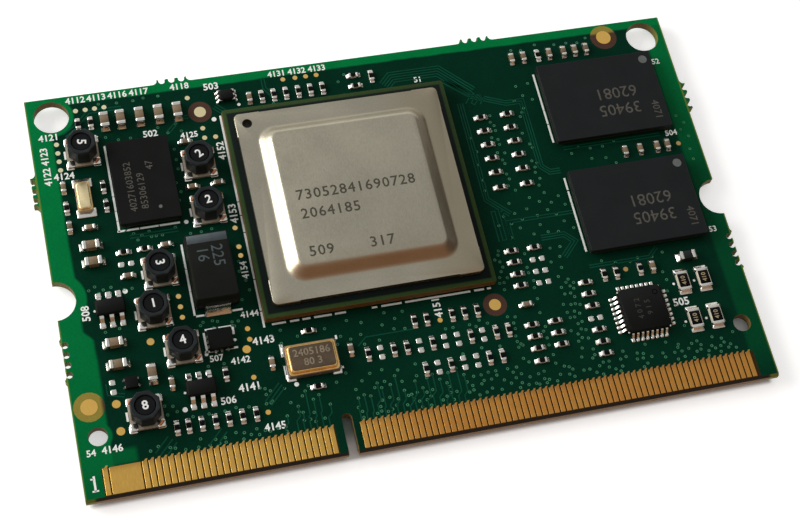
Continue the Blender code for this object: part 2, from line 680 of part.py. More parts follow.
def turned(name, profile, spec, at, height):
    """A piece turned about Z from a profile that runs down its outer side."""
    mesh = bpy.data.meshes.new(name)
    closed = profile[0][0] > 0.0
    edges = [(n, n + 1) for n in range(len(profile) - 1)]
    if closed:
        edges.append((len(profile) - 1, 0))
    mesh.from_pydata([(radius, 0.0, z) for radius, z in profile], edges, [])
    made = piece(name, mesh, spec, at, height)
    screw = made.modifiers.new("turn", 'SCREW')
    screw.steps = TURNED_STEPS
    screw.render_steps = TURNED_STEPS
    screw.use_merge_vertices = True
    screw.merge_threshold = 1e-6
    return made


def inductor(number, at):
    """A shielded inductor: base with corner terminals, octagonal shield, core and winding."""
    place = spot(*at)
    base = piece(f"inductor_base_{number}",
                 block("inductor_base", (INDUCTOR_BASE_SIDE, INDUCTOR_BASE_SIDE,
                                         INDUCTOR_BASE_HEIGHT)), CERAMIC, place, SOLDER_FILM)
    foot = block("terminal", (INDUCTOR_TERMINAL, INDUCTOR_TERMINAL, INDUCTOR_TERMINAL_HEIGHT))
    reach = INDUCTOR_BASE_SIDE / 2 - INDUCTOR_TERMINAL / 2 + SOLDER_FILM
    corners = [(sx * reach, sy * reach, 0.0, 0.0) for sx in (-1, 1) for sy in (-1, 1)]
    combine(base, tool(f"terminals_{number}", copies("terminals", foot, corners), TIN, place,
                       SOLDER_FILM), 'UNION')
    floor = SOLDER_FILM + INDUCTOR_TERMINAL_HEIGHT + SOLDER_FILM
    outer = SHIELD_ACROSS / 2 / math.cos(math.pi / 8)
    shield = piece(f"inductor_shield_{number}",
                   disc("inductor_shield", outer, SHIELD_HEIGHT, 8, math.pi / 8), FERRITE,
                   place, floor)
    combine(shield, tool(f"shield_bore_{number}",
                         disc("shield_bore", SHIELD_BORE_RADIUS,
                              SHIELD_HEIGHT + 2 * CUTTER_SPARE, TURNED_STEPS),
                         FERRITE, place, floor - CUTTER_SPARE), 'DIFFERENCE')
    rim = SHIELD_BORE_RADIUS - CORE_CLEARANCE
    height = SHIELD_HEIGHT - CORE_RECESS
    waist = CORE_WAIST_RADIUS
    turned(f"inductor_core_{number}",
           [(0.0, height), (rim, height), (rim, height - CORE_FLANGE),
            (waist, height - CORE_FLANGE), (waist, CORE_FLANGE), (rim, CORE_FLANGE),
            (rim, 0.0), (0.0, 0.0)], FERRITE, place, floor)
    turned(f"inductor_winding_{number}",
           [(waist + WINDING_CLEARANCE, height - CORE_FLANGE - WINDING_CLEARANCE),
            (rim, height - CORE_FLANGE - WINDING_CLEARANCE),
            (rim, CORE_FLANGE + WINDING_CLEARANCE),
            (waist + WINDING_CLEARANCE, CORE_FLANGE + WINDING_CLEARANCE)],
           COPPER, place, floor)


def tantalum_capacitor():
    """The moulded capacitor along Y: drafted body and a bent terminal at each end."""
    at = spot(*TANTALUM_AT)
    width, length, height = TANTALUM_SIZE
    inner = (width - 2 * TANTALUM_DRAFT, length - 2 * TANTALUM_DRAFT)
    parting = TANTALUM_TERMINAL_RISE
    rings = [raised(rounded(*inner, TANTALUM_DRAFT, 1), 0.0),
             raised(rounded(width, length, TANTALUM_DRAFT, 1), parting),
             raised(rounded(*inner, TANTALUM_DRAFT, 1), height)]
    piece("tantalum_body", loft("tantalum_body", rings), MOULDING, at, TANTALUM_LIFT)
    end = length / 2 + SOLDER_FILM
    toe = length / 2 - TANTALUM_TERMINAL_FOOT
    sheet = TERMINAL_SHEET
    outline = [(toe, 0.0), (end + sheet, 0.0), (end + sheet, parting),
               (end, parting), (end, sheet), (toe, sheet)]
    for name, turn in (("tantalum_terminal_far", math.pi / 2),
                       ("tantalum_terminal_near", -math.pi / 2)):
        mesh = plate(name, [outline], TANTALUM_TERMINAL_WIDTH)
        mesh.transform(Matrix.Rotation(math.pi / 2, 4, 'X'))
        piece(name, mesh, TIN, at, SOLDER_FILM, turn)


def canned(name, at, base, rim, corner, lid_height):
    """A ceramic base with a metal lid set in from its edge by the rim."""
    place = spot(*at)
    width, depth, height = base
    piece(name + "_base", block(name + "_base", base), CERAMIC, place, SOLDER_FILM)
    outline = rounded(width - 2 * rim, depth - 2 * rim, corner, 2)
    mesh = plate(name + "_lid", [outline], lid_height)
    piece(name + "_lid", mesh, TIN, place, 2 * SOLDER_FILM + height + lid_height / 2)


def lead_mesh(name, width, reach, middle):
    """A gull-wing lead along X: root in the body, shoulder, slope and foot."""
    sheet = LEAD_SHEET
    shoulder, heel = reach * LEAD_SHOULDER, reach * LEAD_HEEL
    side = [(-LEAD_ROOT, middle), (shoulder, middle), (heel, sheet), (reach, sheet),
            (reach, 0.0), (heel - sheet, 0.0), (shoulder - sheet, middle - sheet),
            (-LEAD_ROOT, middle - sheet)]
    mesh = plate(name, [side[::-1]], width)
    mesh.transform(Matrix.Rotation(math.pi / 2, 4, 'X'))
    return mesh


def leaded_chip(name, at, body, corner, lead, per_side, pitch, sides):
    """A moulded chip with rows of gull-wing leads: lead is width and reach, and each side is
    the number of quarter turns from +X."""
    place = spot(*at)
    width, depth, height = body
    inner = (width - 2 * BODY_DRAFT, depth - 2 * BODY_DRAFT)
    middle = height / 2
    rings = [raised(rounded(*inner, corner, 1), 0.0),
             raised(rounded(width, depth, corner, 1), middle),
             raised(rounded(*inner, corner, 1), height)]
    made = piece(name, loft(name, rings), MOULDING, place, SOLDER_FILM + BODY_LIFT)
    mesh = lead_mesh(name + "_lead", *lead, BODY_LIFT + middle + LEAD_SHEET / 2)
    places = []
    for side in sides:
        turn = side * math.pi / 2
        across = depth / 2 if side % 2 else width / 2
        for number in range(per_side):
            along = (number - (per_side - 1) / 2) * pitch
            point = Matrix.Rotation(turn, 4, 'Z') @ Vector((across, along, 0.0))
            places.append((point.x, point.y, 0.0, turn))
    combine(made, tool(name + "_leads", copies(name + "_leads", mesh, places), TIN, place,
                       SOLDER_FILM), 'UNION')


def loose_chips():
    """The larger chip resistors, the far row of capacitors and the bead."""
    mesh = chip_mesh("large_resistor", LARGE_RESISTOR)
    for number, at in enumerate(LARGE_RESISTORS_AT, 1):
        piece(f"large_resistor_{number}", mesh, RESISTOR_BLACK, spot(*at), SOLDER_FILM,
              math.pi / 2)
    mesh = chip_mesh("far_capacitor", MID_CAPACITOR)
    for number, at in enumerate(FAR_CAPACITORS_AT, 1):
        piece(f"far_capacitor_{number}", mesh, CAPACITOR_TAN, spot(*at), SOLDER_FILM,
              math.pi / 2)
    piece("chip_bead", chip_mesh("chip_bead", MID_CAPACITOR), FERRITE, spot(*BEAD_AT), SOLDER_FILM)


CORNER = start()
circuit_board()
processor()
for memory_number, memory_at in enumerate(MEMORY_AT, 1):
    grid_chip(f"memory_{memory_number}", MEMORY_SIZE, memory_at, (1, 1))
grid_chip("power_chip", POWER_SIZE, POWER_AT, (1, -1))
for inductor_number, inductor_at in enumerate(INDUCTORS_AT, 1):
    inductor(inductor_number, inductor_at)
tantalum_capacitor()
canned("oscillator", OSCILLATOR_AT, OSCILLATOR_BASE, OSCILLATOR_RIM, OSCILLATOR_LID_CORNER,
       OSCILLATOR_LID_HEIGHT)
canned("clock_crystal", CLOCK_AT, CLOCK_BASE, CLOCK_RIM, CLOCK_LID_CORNER, CLOCK_LID_HEIGHT)
leaded_chip("quad_chip", QUAD_AT, QUAD_BODY, QUAD_CORNER, (QUAD_LEAD_WIDTH, QUAD_LEAD_REACH),
            QUAD_LEADS, QUAD_PITCH, (0, 1, 2, 3))
for six_number, six_at in enumerate(SIX_LEAD_AT, 1):
    leaded_chip(f"six_lead_chip_{six_number}", six_at, SIX_LEAD_BODY, BODY_DRAFT,
                (SIX_LEAD_WIDTH, SIX_LEAD_REACH), 3, SIX_LEAD_PITCH, (1, 3))
leaded_chip("small_six_lead_chip", SMALL_SIX_AT, SMALL_SIX_BODY, BODY_DRAFT,
            (SMALL_SIX_WIDTH, SMALL_SIX_REACH), 3, SMALL_SIX_PITCH, (0, 2))
piece("leadless_chip", block("leadless_chip", LEADLESS_SIZE), MOULDING, spot(*LEADLESS_AT),
      SOLDER_FILM)
loose_chips()
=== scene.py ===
"""The finished look of a system on module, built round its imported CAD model.

Places are in millimetres on the board: x from its left edge, y from its contact edge, and
heights from its top face. Sizes are kept in metres.
"""
import math
import random

import bmesh
import bpy
from bpy.props import FloatProperty, FloatVectorProperty, IntProperty, PointerProperty
from mathutils import Matrix, Vector


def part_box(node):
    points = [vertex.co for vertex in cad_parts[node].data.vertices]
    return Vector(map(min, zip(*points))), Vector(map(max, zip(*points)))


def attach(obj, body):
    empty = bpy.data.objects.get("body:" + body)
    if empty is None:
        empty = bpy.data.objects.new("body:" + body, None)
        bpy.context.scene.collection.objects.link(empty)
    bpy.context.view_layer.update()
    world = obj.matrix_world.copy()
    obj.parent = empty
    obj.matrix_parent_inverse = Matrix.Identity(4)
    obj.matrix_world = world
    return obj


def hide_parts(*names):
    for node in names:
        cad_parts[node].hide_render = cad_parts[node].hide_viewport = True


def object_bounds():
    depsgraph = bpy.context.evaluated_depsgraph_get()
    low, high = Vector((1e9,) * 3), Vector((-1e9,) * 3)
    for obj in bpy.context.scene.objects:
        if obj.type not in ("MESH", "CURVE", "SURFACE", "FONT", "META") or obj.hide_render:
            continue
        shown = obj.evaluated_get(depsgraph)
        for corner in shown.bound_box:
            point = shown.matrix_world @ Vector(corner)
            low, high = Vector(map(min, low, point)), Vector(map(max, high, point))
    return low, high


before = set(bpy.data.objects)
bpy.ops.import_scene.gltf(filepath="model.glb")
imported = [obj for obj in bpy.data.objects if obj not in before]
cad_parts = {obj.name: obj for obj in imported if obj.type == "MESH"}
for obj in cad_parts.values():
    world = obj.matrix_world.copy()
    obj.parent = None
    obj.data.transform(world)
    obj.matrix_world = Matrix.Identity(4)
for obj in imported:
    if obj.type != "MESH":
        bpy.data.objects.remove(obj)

bl_info = {
    "name": "System on module",
    "version": (1, 0, 0),
    "blender": (4, 5, 0),
    "location": "View3D > Sidebar > Module",
    "description": "Builds the finished look of a system on module round its CAD model",
    "category": "Add Mesh",
}

MM = 0.001
CAD_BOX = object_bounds()
BOARD_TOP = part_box("circuit_board")[0][2] + 1.5 * MM
SUBSTRATE_LOW, SUBSTRATE_HIGH = (Vector(corner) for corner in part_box("processor_substrate"))
PROCESSOR = (30.52, 25.68)
CORNER = Vector(((SUBSTRATE_LOW.x + SUBSTRATE_HIGH.x) / 2 - PROCESSOR[0] * MM,
                 (SUBSTRATE_LOW.y + SUBSTRATE_HIGH.y) / 2 - PROCESSOR[1] * MM,
                 BOARD_TOP))
QUARTER = math.pi / 2
CORNERS = ((1, 1), (-1, 1), (-1, -1), (1, -1))

# Places of the parts, read from the board's left edge and its contact edge
MEMORY_AT = ((58.58, 32.84), (58.58, 20.27))
POWER_AT = (10.25, 30.95)
INDUCTORS_AT = ((4.87, 35.35), (15.93, 32.25), (15.93, 27.12), (10.24, 21.3),
                (8.97, 17.23), (11.03, 13.1), (6.6, 7.37))
TANTALUM_AT = (14.97, 20.04)
OSCILLATOR_AT = (22.73, 9.8)
CLOCK_AT = (4.28, 30.35)
QUAD_AT = (55.9, 8.93)
SIX_LEAD_AT = ((5.03, 18.27), (12.0, 8.75))
SMALL_SIX_AT = (19.95, 39.45)
LEADLESS_AT = (14.6, 13.3)
SMALL_LEADLESS_AT = (5.8, 10.55)
LARGE_RESISTORS_AT = ((60.9, 11.3), (63.1, 11.3), (60.9, 7.2), (63.1, 7.2))
FAR_CAPACITORS_AT = ((7.5, 38.45), (9.1, 38.45), (11.0, 38.45), (12.9, 38.45), (14.8, 38.45))
BEAD_AT = (62.1, 13.85)

# Upright rows share a y and lie along Y; flat columns share an x and lie along X
MID_CAPACITORS_FLAT = ((4.2, (25.05, 23.3)), (4.85, (14.7,)), (4.87, (12.5,)))
MID_CAPACITORS_UPRIGHT = ((11.1, (7.8,)),)
RESISTOR_ROWS = (
    (38.55, (4.88, 6.13)),
    (39.5, (35.15,)),
    (38.9, (23.53, 24.78, 26.04, 27.33, 28.6, 29.87)),
    (39.25, (53.2,)),
    (29.5, (2.5,)),
    (31.25, (6.3,)),
    (29.2, (6.3,)),
    (9.85, (14.52,)),
    (5.45, (9.18, 10.26, 11.5, 12.77, 14.03, 15.3, 16.6)),
    (9.4, (28.16, 30.7, 32.0, 34.55, 38.4, 40.93, 42.2)),
    (6.9, (33.3, 35.8, 39.65, 40.95)),
    (11.95, (33.3, 34.55, 37.1, 38.35, 39.65)),
    (13.45, (53.2, 54.5, 57.0)),
)
CAPACITOR_ROWS = (
    (38.9, (22.25,)),
    (39.25, (50.3, 51.6, 54.45, 56.05, 57.3, 58.55)),
    (31.75, (2.5,)),
    (27.4, (2.5,)),
    (26.6, (59.3, 60.95, 62.8, 63.95)),
    (13.45, (58.3,)),
    (10.15, (18.97, 26.6)),
    (9.85, (9.45,)),
)
RESISTOR_COLUMNS = (
    (7.15, (23.9,)),
    (9.2, (23.95,)),
    (33.3, (39.85, 38.6)),
    (23.05, (12.75,)),
    (22.8, (7.05,)),
    (44.6, (17.55, 16.3, 15.0, 13.75, 9.5, 8.25, 7.0, 5.7)),
    (47.0, (17.55, 9.5, 8.25, 7.0)),
    (45.3, (32.85, 31.25, 29.65, 28.05, 26.4, 24.65)),
    (48.15, (32.85, 31.25, 29.65, 28.05, 26.4, 24.65)),
    (51.1, (12.95, 11.7, 10.4, 7.85, 6.55, 5.3)),
)
CAPACITOR_COLUMNS = (
    (4.4, (27.05,)),
    (11.25, (24.0,)),
    (7.2, (21.35,)),
    (15.0, (34.9,)),
    (14.85, (29.8,)),
    (17.4, (29.85,)),
    (44.6, (11.65,)),
)
EMPTY_ROWS = (
    (10.45, (4.05,)),
    (9.4, (29.45, 33.3, 35.8, 37.1, 39.63)),
    (6.9, (34.55, 37.1, 38.4)),
)
EMPTY_COLUMNS = (
    (7.2, (22.7,)),
    (47.0, (16.3, 15.0, 13.75)),
    (51.1, (9.1,)),
)

# Bare gold dots that a tester touches: x, y, diameter
TEST_POINTS = (
    (4.87, 40.2, 0.5), (5.83, 40.2, 0.5), (6.76, 40.2, 0.5), (7.7, 40.2, 0.5),
    (16.07, 39.95, 0.5), (2.5, 36.7, 0.5), (2.5, 35.72, 0.5), (2.5, 34.77, 0.5),
    (2.5, 33.8, 0.5), (17.0, 36.25, 0.5), (17.0, 35.15, 0.5), (18.1, 35.1, 0.5),
    (26.06, 40.6, 0.5), (27.33, 40.6, 0.5), (28.45, 40.6, 0.5), (29.56, 40.6, 0.5),
    (18.15, 24.75, 0.5), (18.15, 22.68, 0.5), (18.15, 21.73, 0.5), (11.52, 18.5, 0.5),
    (11.52, 17.4, 0.5), (11.52, 16.3, 0.5), (8.17, 14.37, 0.72), (17.37, 14.05, 0.5),
    (17.37, 12.95, 0.5), (16.9, 12.0, 0.8), (17.03, 9.1, 0.5), (17.7, 5.45, 0.5),
    (4.1, 8.8, 0.8), (4.1, 6.12, 0.8), (35.83, 11.63, 0.5), (55.58, 13.68, 0.5),
    (65.27, 26.62, 0.5),
)
# Round marks for the assembly camera: x, y, diameter of the dot, diameter of the bare ring
CAMERA_MARKS = ((17.05, 38.15, 1.2, 2.4), (60.95, 40.4, 1.6, 2.9),
                (1.62, 8.95, 1.6, 2.9), (41.56, 12.26, 1.2, 2.4))


def length(mm, name, text):
    """A size that a user can change: its default in millimetres, its label and its meaning."""
    return FloatProperty(name=name, description=text, default=mm * MM, min=0.0,
                         unit='LENGTH', precision=5)


def colour(value, name, text):
    """A colour that a user can change."""
    return FloatVectorProperty(name=name, description=text, default=value, size=3, min=0.0,
                               max=1.0, subtype='COLOR')


class BoardSizes(bpy.types.PropertyGroup):
    """Sizes of the bare board."""
    width: length(67.6, "Width", "Along the contact edge")
    depth: length(42.0, "Depth", "From the contact edge to the far edge")
    thickness: length(1.0, "Thickness", "Of the laminate with its masks")
    key_from_left: length(24.8, "Key place", "From the left edge to the key slot's middle")
    key_width: length(1.0, "Key width", "Across the key slot")
    key_depth: length(4.0, "Key depth", "How far the key slot runs in")
    side_notch: length(2.0, "Side notch radius", "Of the half-round latch notches")
    side_notch_up: length(20.0, "Side notch place", "From the contact edge")
    mount_hole: length(1.75, "Mounting hole radius", "Of the holes at the far corners")
    mount_hole_in: length(2.4, "Mounting hole inset", "From a short side")
    mount_hole_down: length(2.15, "Mounting hole drop", "From the far edge")
    small_hole: length(0.9, "Small hole radius", "Of the holes near the contacts")
    small_hole_in: length(2.0, "Small hole inset", "From a short side")
    small_hole_up: length(6.0, "Small hole place", "From the contact edge")
    chamfer: length(0.25, "Chamfer", "Of the contact edge, above and below")
    tab_reach: length(0.55, "Tab reach", "How far a broken tab stands out")
    tab_foot: length(0.5, "Tab foot", "Along the edge beside a tab's bites")
    bite: length(0.33, "Bite radius", "Of the holes that a tab broke along")
    bite_pitch: length(1.0, "Bite pitch", "From one bite to the next")
    sunk_bite: length(0.64, "Sunk bite depth", "How far the lower bites run in")
    sunk_spike: length(0.15, "Spike", "Of the laminate left beside the lower bites")


class ContactSizes(bpy.types.PropertyGroup):
    """Sizes of the edge contacts."""
    pitch: length(0.6, "Pitch", "From one contact to the next")
    width: length(0.46, "Width", "Of one contact")
    length: length(2.62, "Length", "Of one contact, without its neck")
    setback: length(0.33, "Setback", "From the board's edge")
    rise: length(0.03, "Rise", "Of the plated metal above the board")
    neck: length(0.18, "Neck width", "Of the contact's high corner, which runs into its trace")
    taper: length(0.17, "Taper", "Reach of the neck above the upper end")
    margin: length(2.15, "Side margin", "From a short side to the first contact")
    key_margin: length(1.35, "Key margin", "From the key's middle to the next contact")
    back_shift: length(0.3, "Back shift", "Of the contacts on the underside")


class ProcessorSizes(bpy.types.PropertyGroup):
    """Sizes of the processor package."""
    side: length(23.0, "Substrate side", "Of the square laminate")
    thickness: length(0.95, "Substrate thickness", "Of the laminate")
    ball: length(0.4, "Ball height", "Of the solder under a grid package")
    ball_pitch: length(0.8, "Ball pitch", "From one ball to the next")
    lid: length(21.0, "Lid side", "Across the lid's rim")
    lid_sheet: length(0.6, "Lid sheet", "Thickness of the stamped metal")
    foot: length(17.05, "Foot side", "Where the lid's slopes start")
    plateau: length(14.8, "Plateau side", "Across the lid's flat top")
    rise: length(1.0, "Lid rise", "From the rim's top to the plateau")
    hole: length(0.5, "Pin mark radius", "Of the hole in the rim's corner")
    hole_in: length(1.2, "Pin mark inset", "From the lid's sides")


class PackageSizes(bpy.types.PropertyGroup):
    """Sizes of the moulded and canned packages."""
    film: length(0.05, "Solder film", "Under a part that lies flat")
    memory_width: length(12.5, "Memory width", "Along X")
    memory_depth: length(9.1, "Memory depth", "Along Y")
    power_width: length(6.0, "Power chip width", "Along X")
    substrate: length(0.2, "Chip substrate", "Thickness under a moulding")
    moulding: length(0.5, "Moulding", "Thickness of a moulding")
    mark: length(0.5, "Mark radius", "Of the round recess in a moulding")
    mark_in: length(0.9, "Mark inset", "From the moulding's sides")
    oscillator_width: length(5.0, "Oscillator width", "Along X")
    oscillator_depth: length(3.2, "Oscillator depth", "Along Y")
    clock_width: length(1.5, "Clock crystal width", "Along X")
    clock_depth: length(3.2, "Clock crystal depth", "Along Y")
    quad: length(4.6, "Square chip side", "Across its body")
    six_width: length(2.85, "Six-lead chip width", "Along X")
    six_depth: length(1.6, "Six-lead chip depth", "Along Y")


class InductorSizes(bpy.types.PropertyGroup):
    """Sizes of a shielded inductor."""
    base: length(3.15, "Base side", "Of the square base")
    base_height: length(0.35, "Base height", "Of the square base")
    terminal: length(0.75, "Terminal side", "Of a corner terminal")
    shield: length(2.75, "Shield width", "Across the octagon's flats")
    height: length(1.95, "Shield height", "Of the octagonal ring")
    bore: length(1.0, "Bore radius", "Of the octagonal ring")
    clearance: length(0.06, "Core clearance", "Between the core and the bore")
    recess: length(0.12, "Core recess", "Of the core below the ring's top")


class ChipSizes(bpy.types.PropertyGroup):
    """Sizes of the chip resistors and capacitors."""
    length: length(1.0, "Length", "Of the smallest chips")
    width: length(0.5, "Width", "Of the smallest chips")
    resistor: length(0.35, "Resistor height", "Of the smallest resistors")
    capacitor: length(0.5, "Capacitor height", "Of the smallest capacitors")
    cap: length(0.24, "End cap", "Length of an end cap on the smallest chips")
    mid_length: length(1.6, "Middle length", "Of the middle-size capacitors")
    mid_width: length(0.85, "Middle width", "Of the middle-size capacitors")
    mid_height: length(0.8, "Middle height", "Of the middle-size capacitors")
    mid_cap: length(0.35, "Middle end cap", "Length of an end cap")
    large_length: length(2.0, "Large length", "Of the larger resistors")
    large_width: length(1.25, "Large width", "Of the larger resistors")
    large_height: length(0.5, "Large height", "Of the larger resistors")
    under_pitch: length(4.4, "Underside pitch", "Of the capacitors behind the processor")
    under_count: IntProperty(name="Underside count", default=4, min=1, max=6,
                             description="Capacitors along each side of the underside grid")


class PrintSizes(bpy.types.PropertyGroup):
    """Sizes of the printed marks, traces and vias."""
    line: length(0.2, "Line", "Width of a printed line")
    ink: length(0.012, "Ink", "Height of the print above the mask")
    trace: length(0.13, "Trace", "Width of a trace under the mask")
    relief: length(0.012, "Relief", "Of a trace above the mask round it")
    via: length(0.155, "Via radius", "Of a masked via")
    via_spacing: length(0.46, "Via spacing", "Least distance between vias")
    seed: IntProperty(name="Seed", default=7, description="Of the vias' scatter")


class Colours(bpy.types.PropertyGroup):
    """Colours of the main finishes."""
    mask: colour((0.0006, 0.026, 0.0132), "Mask", "Solder mask over copper")
    mask_light: colour((0.0005, 0.178, 0.045), "Light mask", "Solder mask over bare laminate")
    laminate: colour((0.17, 0.11, 0.035), "Laminate", "Bare and broken edges of the board")
    gold: colour((0.74, 0.44, 0.1), "Gold", "Plating of the contacts and test points")
    # This tone is the right-hand contacts' darker reflection, painted into their plating colour.
    contact_reflection_brown: colour((0.62, 0.25, 0.053), "Gold dimmed by painted reflection", "Plating at the right-hand end")
    ink: colour((0.96, 1.0, 0.96), "Ink", "Printed lines and figures")
    nickel: colour((0.44, 0.405, 0.315), "Nickel", "The processor's lid")
    moulding: colour((0.0075, 0.0085, 0.0078), "Moulding", "Black chips")
    ferrite: colour((0.012, 0.0155, 0.0165), "Ferrite", "Rings and cores of the inductors")
    tin: colour((0.82, 0.8, 0.74), "Tin", "Solder, leads and end caps")
    ceramic: colour((0.5, 0.42, 0.29), "Ceramic", "Bases and bodies of fired ceramic")


GROUPS = {"board": BoardSizes, "contacts": ContactSizes, "processor": ProcessorSizes,
          "packages": PackageSizes, "inductor": InductorSizes, "chips": ChipSizes,
          "print": PrintSizes, "colours": Colours}


def sizes(group):
    """The scene's values of one group."""
    return getattr(bpy.context.scene, "module_" + group)


def math_node(operation, swapped=False):
    """A method that joins values in a Math node."""
    def method(self, *others):
        values = (*others, self) if swapped else (self, *others)
        return self.tree.node("ShaderNodeMath", {"operation": operation},
                              dict(enumerate(values)))
    return method


class Value:
    """A socket's value, on which sums are written as plain expressions."""
    __add__ = __radd__ = math_node('ADD')
    __mul__ = __rmul__ = math_node('MULTIPLY')
    __sub__ = math_node('SUBTRACT')
    __rsub__ = math_node('SUBTRACT', swapped=True)
    __pow__ = math_node('POWER')
    __abs__ = math_node('ABSOLUTE')
    most = math_node('MAXIMUM')
    below = math_node('LESS_THAN')
    sine = math_node('SINE')

    def __init__(self, tree, socket):
        self.tree = tree
        self.socket = socket


class Tree:
    """A node tree in the making: for a finish, for geometry or for the surroundings."""

    def __init__(self, tree):
        self.tree = tree

    def node(self, kind, settings=None, sockets=None, out=0):
        """A node with its settings, then its sockets' values or links; gives one output."""
        made = self.tree.nodes.new(kind)
        for key, value in (settings or {}).items():
            setattr(made, key, value)
        for key, value in (sockets or {}).items():
            self.feed(made.inputs[key], value)
        return Value(self, made.outputs[out])

    def feed(self, socket, value):
        """Links a value to a socket, or sets the socket's own number or colour."""
        if isinstance(value, Value):
            self.tree.links.new(value.socket, socket)
        elif socket.type == 'RGBA' and len(value) == 3:
            socket.default_value = (*value, 1.0)
        else:
            socket.default_value = value

    def apart(self, vector, axes="XYZ"):
        """The parts of a vector along some axes."""
        return [self.node("ShaderNodeSeparateXYZ", sockets={0: vector}, out=axis)
                for axis in axes]

    def step(self, value, low, high):
        """0 below one value and 1 above another, with a smooth rise between them."""
        return self.node("ShaderNodeMapRange", {"interpolation_type": 'SMOOTHSTEP'},
                         {"Value": value, "From Min": low, "From Max": high})

    def mix(self, share, first, second):
        """A colour between two colours."""
        return self.node("ShaderNodeMix", {"data_type": 'RGBA'},
                         {0: share, 6: first, 7: second}, out=2)


class Finish(Tree):
    """A material in the making: its nodes, and what feeds its Principled shader."""

    def __init__(self, name, roughness, metallic=0.0, gloss=0.5):
        taken = bpy.data.materials.get(name)
        if taken:
            taken.name = name + "_cad"
        self.material = bpy.data.materials.new(name)
        self.material.use_nodes = True
        super().__init__(self.material.node_tree)
        self.shader = self.tree.nodes["Principled BSDF"]
        self.set(Roughness=roughness, Metallic=metallic, Specular_IOR_Level=gloss)

    def set(self, **values):
        """Feeds the shader's sockets by name and gives the material."""
        for socket, value in values.items():
            self.feed(self.shader.inputs[socket.replace("_", " ")], value)
        return self.material

    def place(self):
        return self.node("ShaderNodeTexCoord", out="Object")

    def board_place(self):
        """The place on the board in millimetres: x, y, and height above its top face."""
        local = self.node("ShaderNodeVectorMath", {"operation": 'SUBTRACT'},
                          {0: self.place(), 1: tuple(CORNER)})
        return [axis * (1 / MM) for axis in self.apart(local)]

    def noise(self, grain, detail=2.0, stretch=(1.0, 1.0, 1.0)):
        """Noise from 0 to 1 with blots of a size in millimetres, stretched by axis."""
        spread = self.node("ShaderNodeVectorMath", {"operation": 'MULTIPLY'},
                           {0: self.place(), 1: tuple(1 / s for s in stretch)})
        return self.node("ShaderNodeTexNoise", sockets={
            "Vector": spread, "Scale": 1 / (grain * MM), "Detail": detail})

    def band(self, value, low, high, soft=0.05):
        """1 between two values and 0 outside them."""
        return self.step(value, low - soft, low + soft) * (
            1 - self.step(value, high - soft, high + soft))

    def shade(self, tone, low, high, value):
        """A colour between a darker and a lighter version of itself."""
        darker = tuple(part * low for part in tone)
        lighter = tuple(min(1.0, part * high) for part in tone)
        return self.mix(value, darker, lighter)

    def bump(self, height, depth):
        """A normal from a height value, its full depth given in millimetres."""
        return self.node("ShaderNodeBump", sockets={
            "Height": height, "Distance": depth * MM}, out="Normal")

    def upward(self):
        """1 on faces that look up, and 0 on walls."""
        up, = self.apart(self.node("ShaderNodeNewGeometry", out="True Normal"), "Z")
        return self.step(abs(up), 0.6, 0.8)

    def away(self, x, y, from_x, from_y):
        """The distance from a place on the board, in millimetres."""
        return (((x - from_x) ** 2) + ((y - from_y) ** 2)) ** 0.5


def plain(name, tone, roughness, metallic=0.0, grain=0.25, low=0.8, high=1.2, depth=0.004,
          shaded=False, gloss=0.5):
    """A finish with clouds and grain in its colour, gloss and relief."""
    made = Finish(name, roughness, metallic, gloss)
    cloud, fine = made.noise(grain * 7), made.noise(grain)
    blots = (cloud - 0.5) * 1.2 + (fine - 0.5) * 0.9 + 0.5
    if shaded:
        own = made.node("ShaderNodeAttribute", {"attribute_name": "tone"}, out="Fac")
        blots = blots * 0.5 + own * 0.5
    return made.set(Base_Color=made.shade(tone, low, high, blots),
                    Roughness=(fine - 0.5) * 0.16 + (cloud - 0.5) * 0.1 + roughness,
                    Normal=made.bump(fine, depth))


# Clearings in the copper planes, round two holes and a notch: x, y and reach
CLEARINGS = ((2.4, 39.85, 2.2), (2.0, 6.0, 1.3), (0.0, 20.0, 3.0))
# Pace of the glass weave and of the laminate's layers, in radians a millimetre
WEAVE = 12.5
LAYERS = 38.0


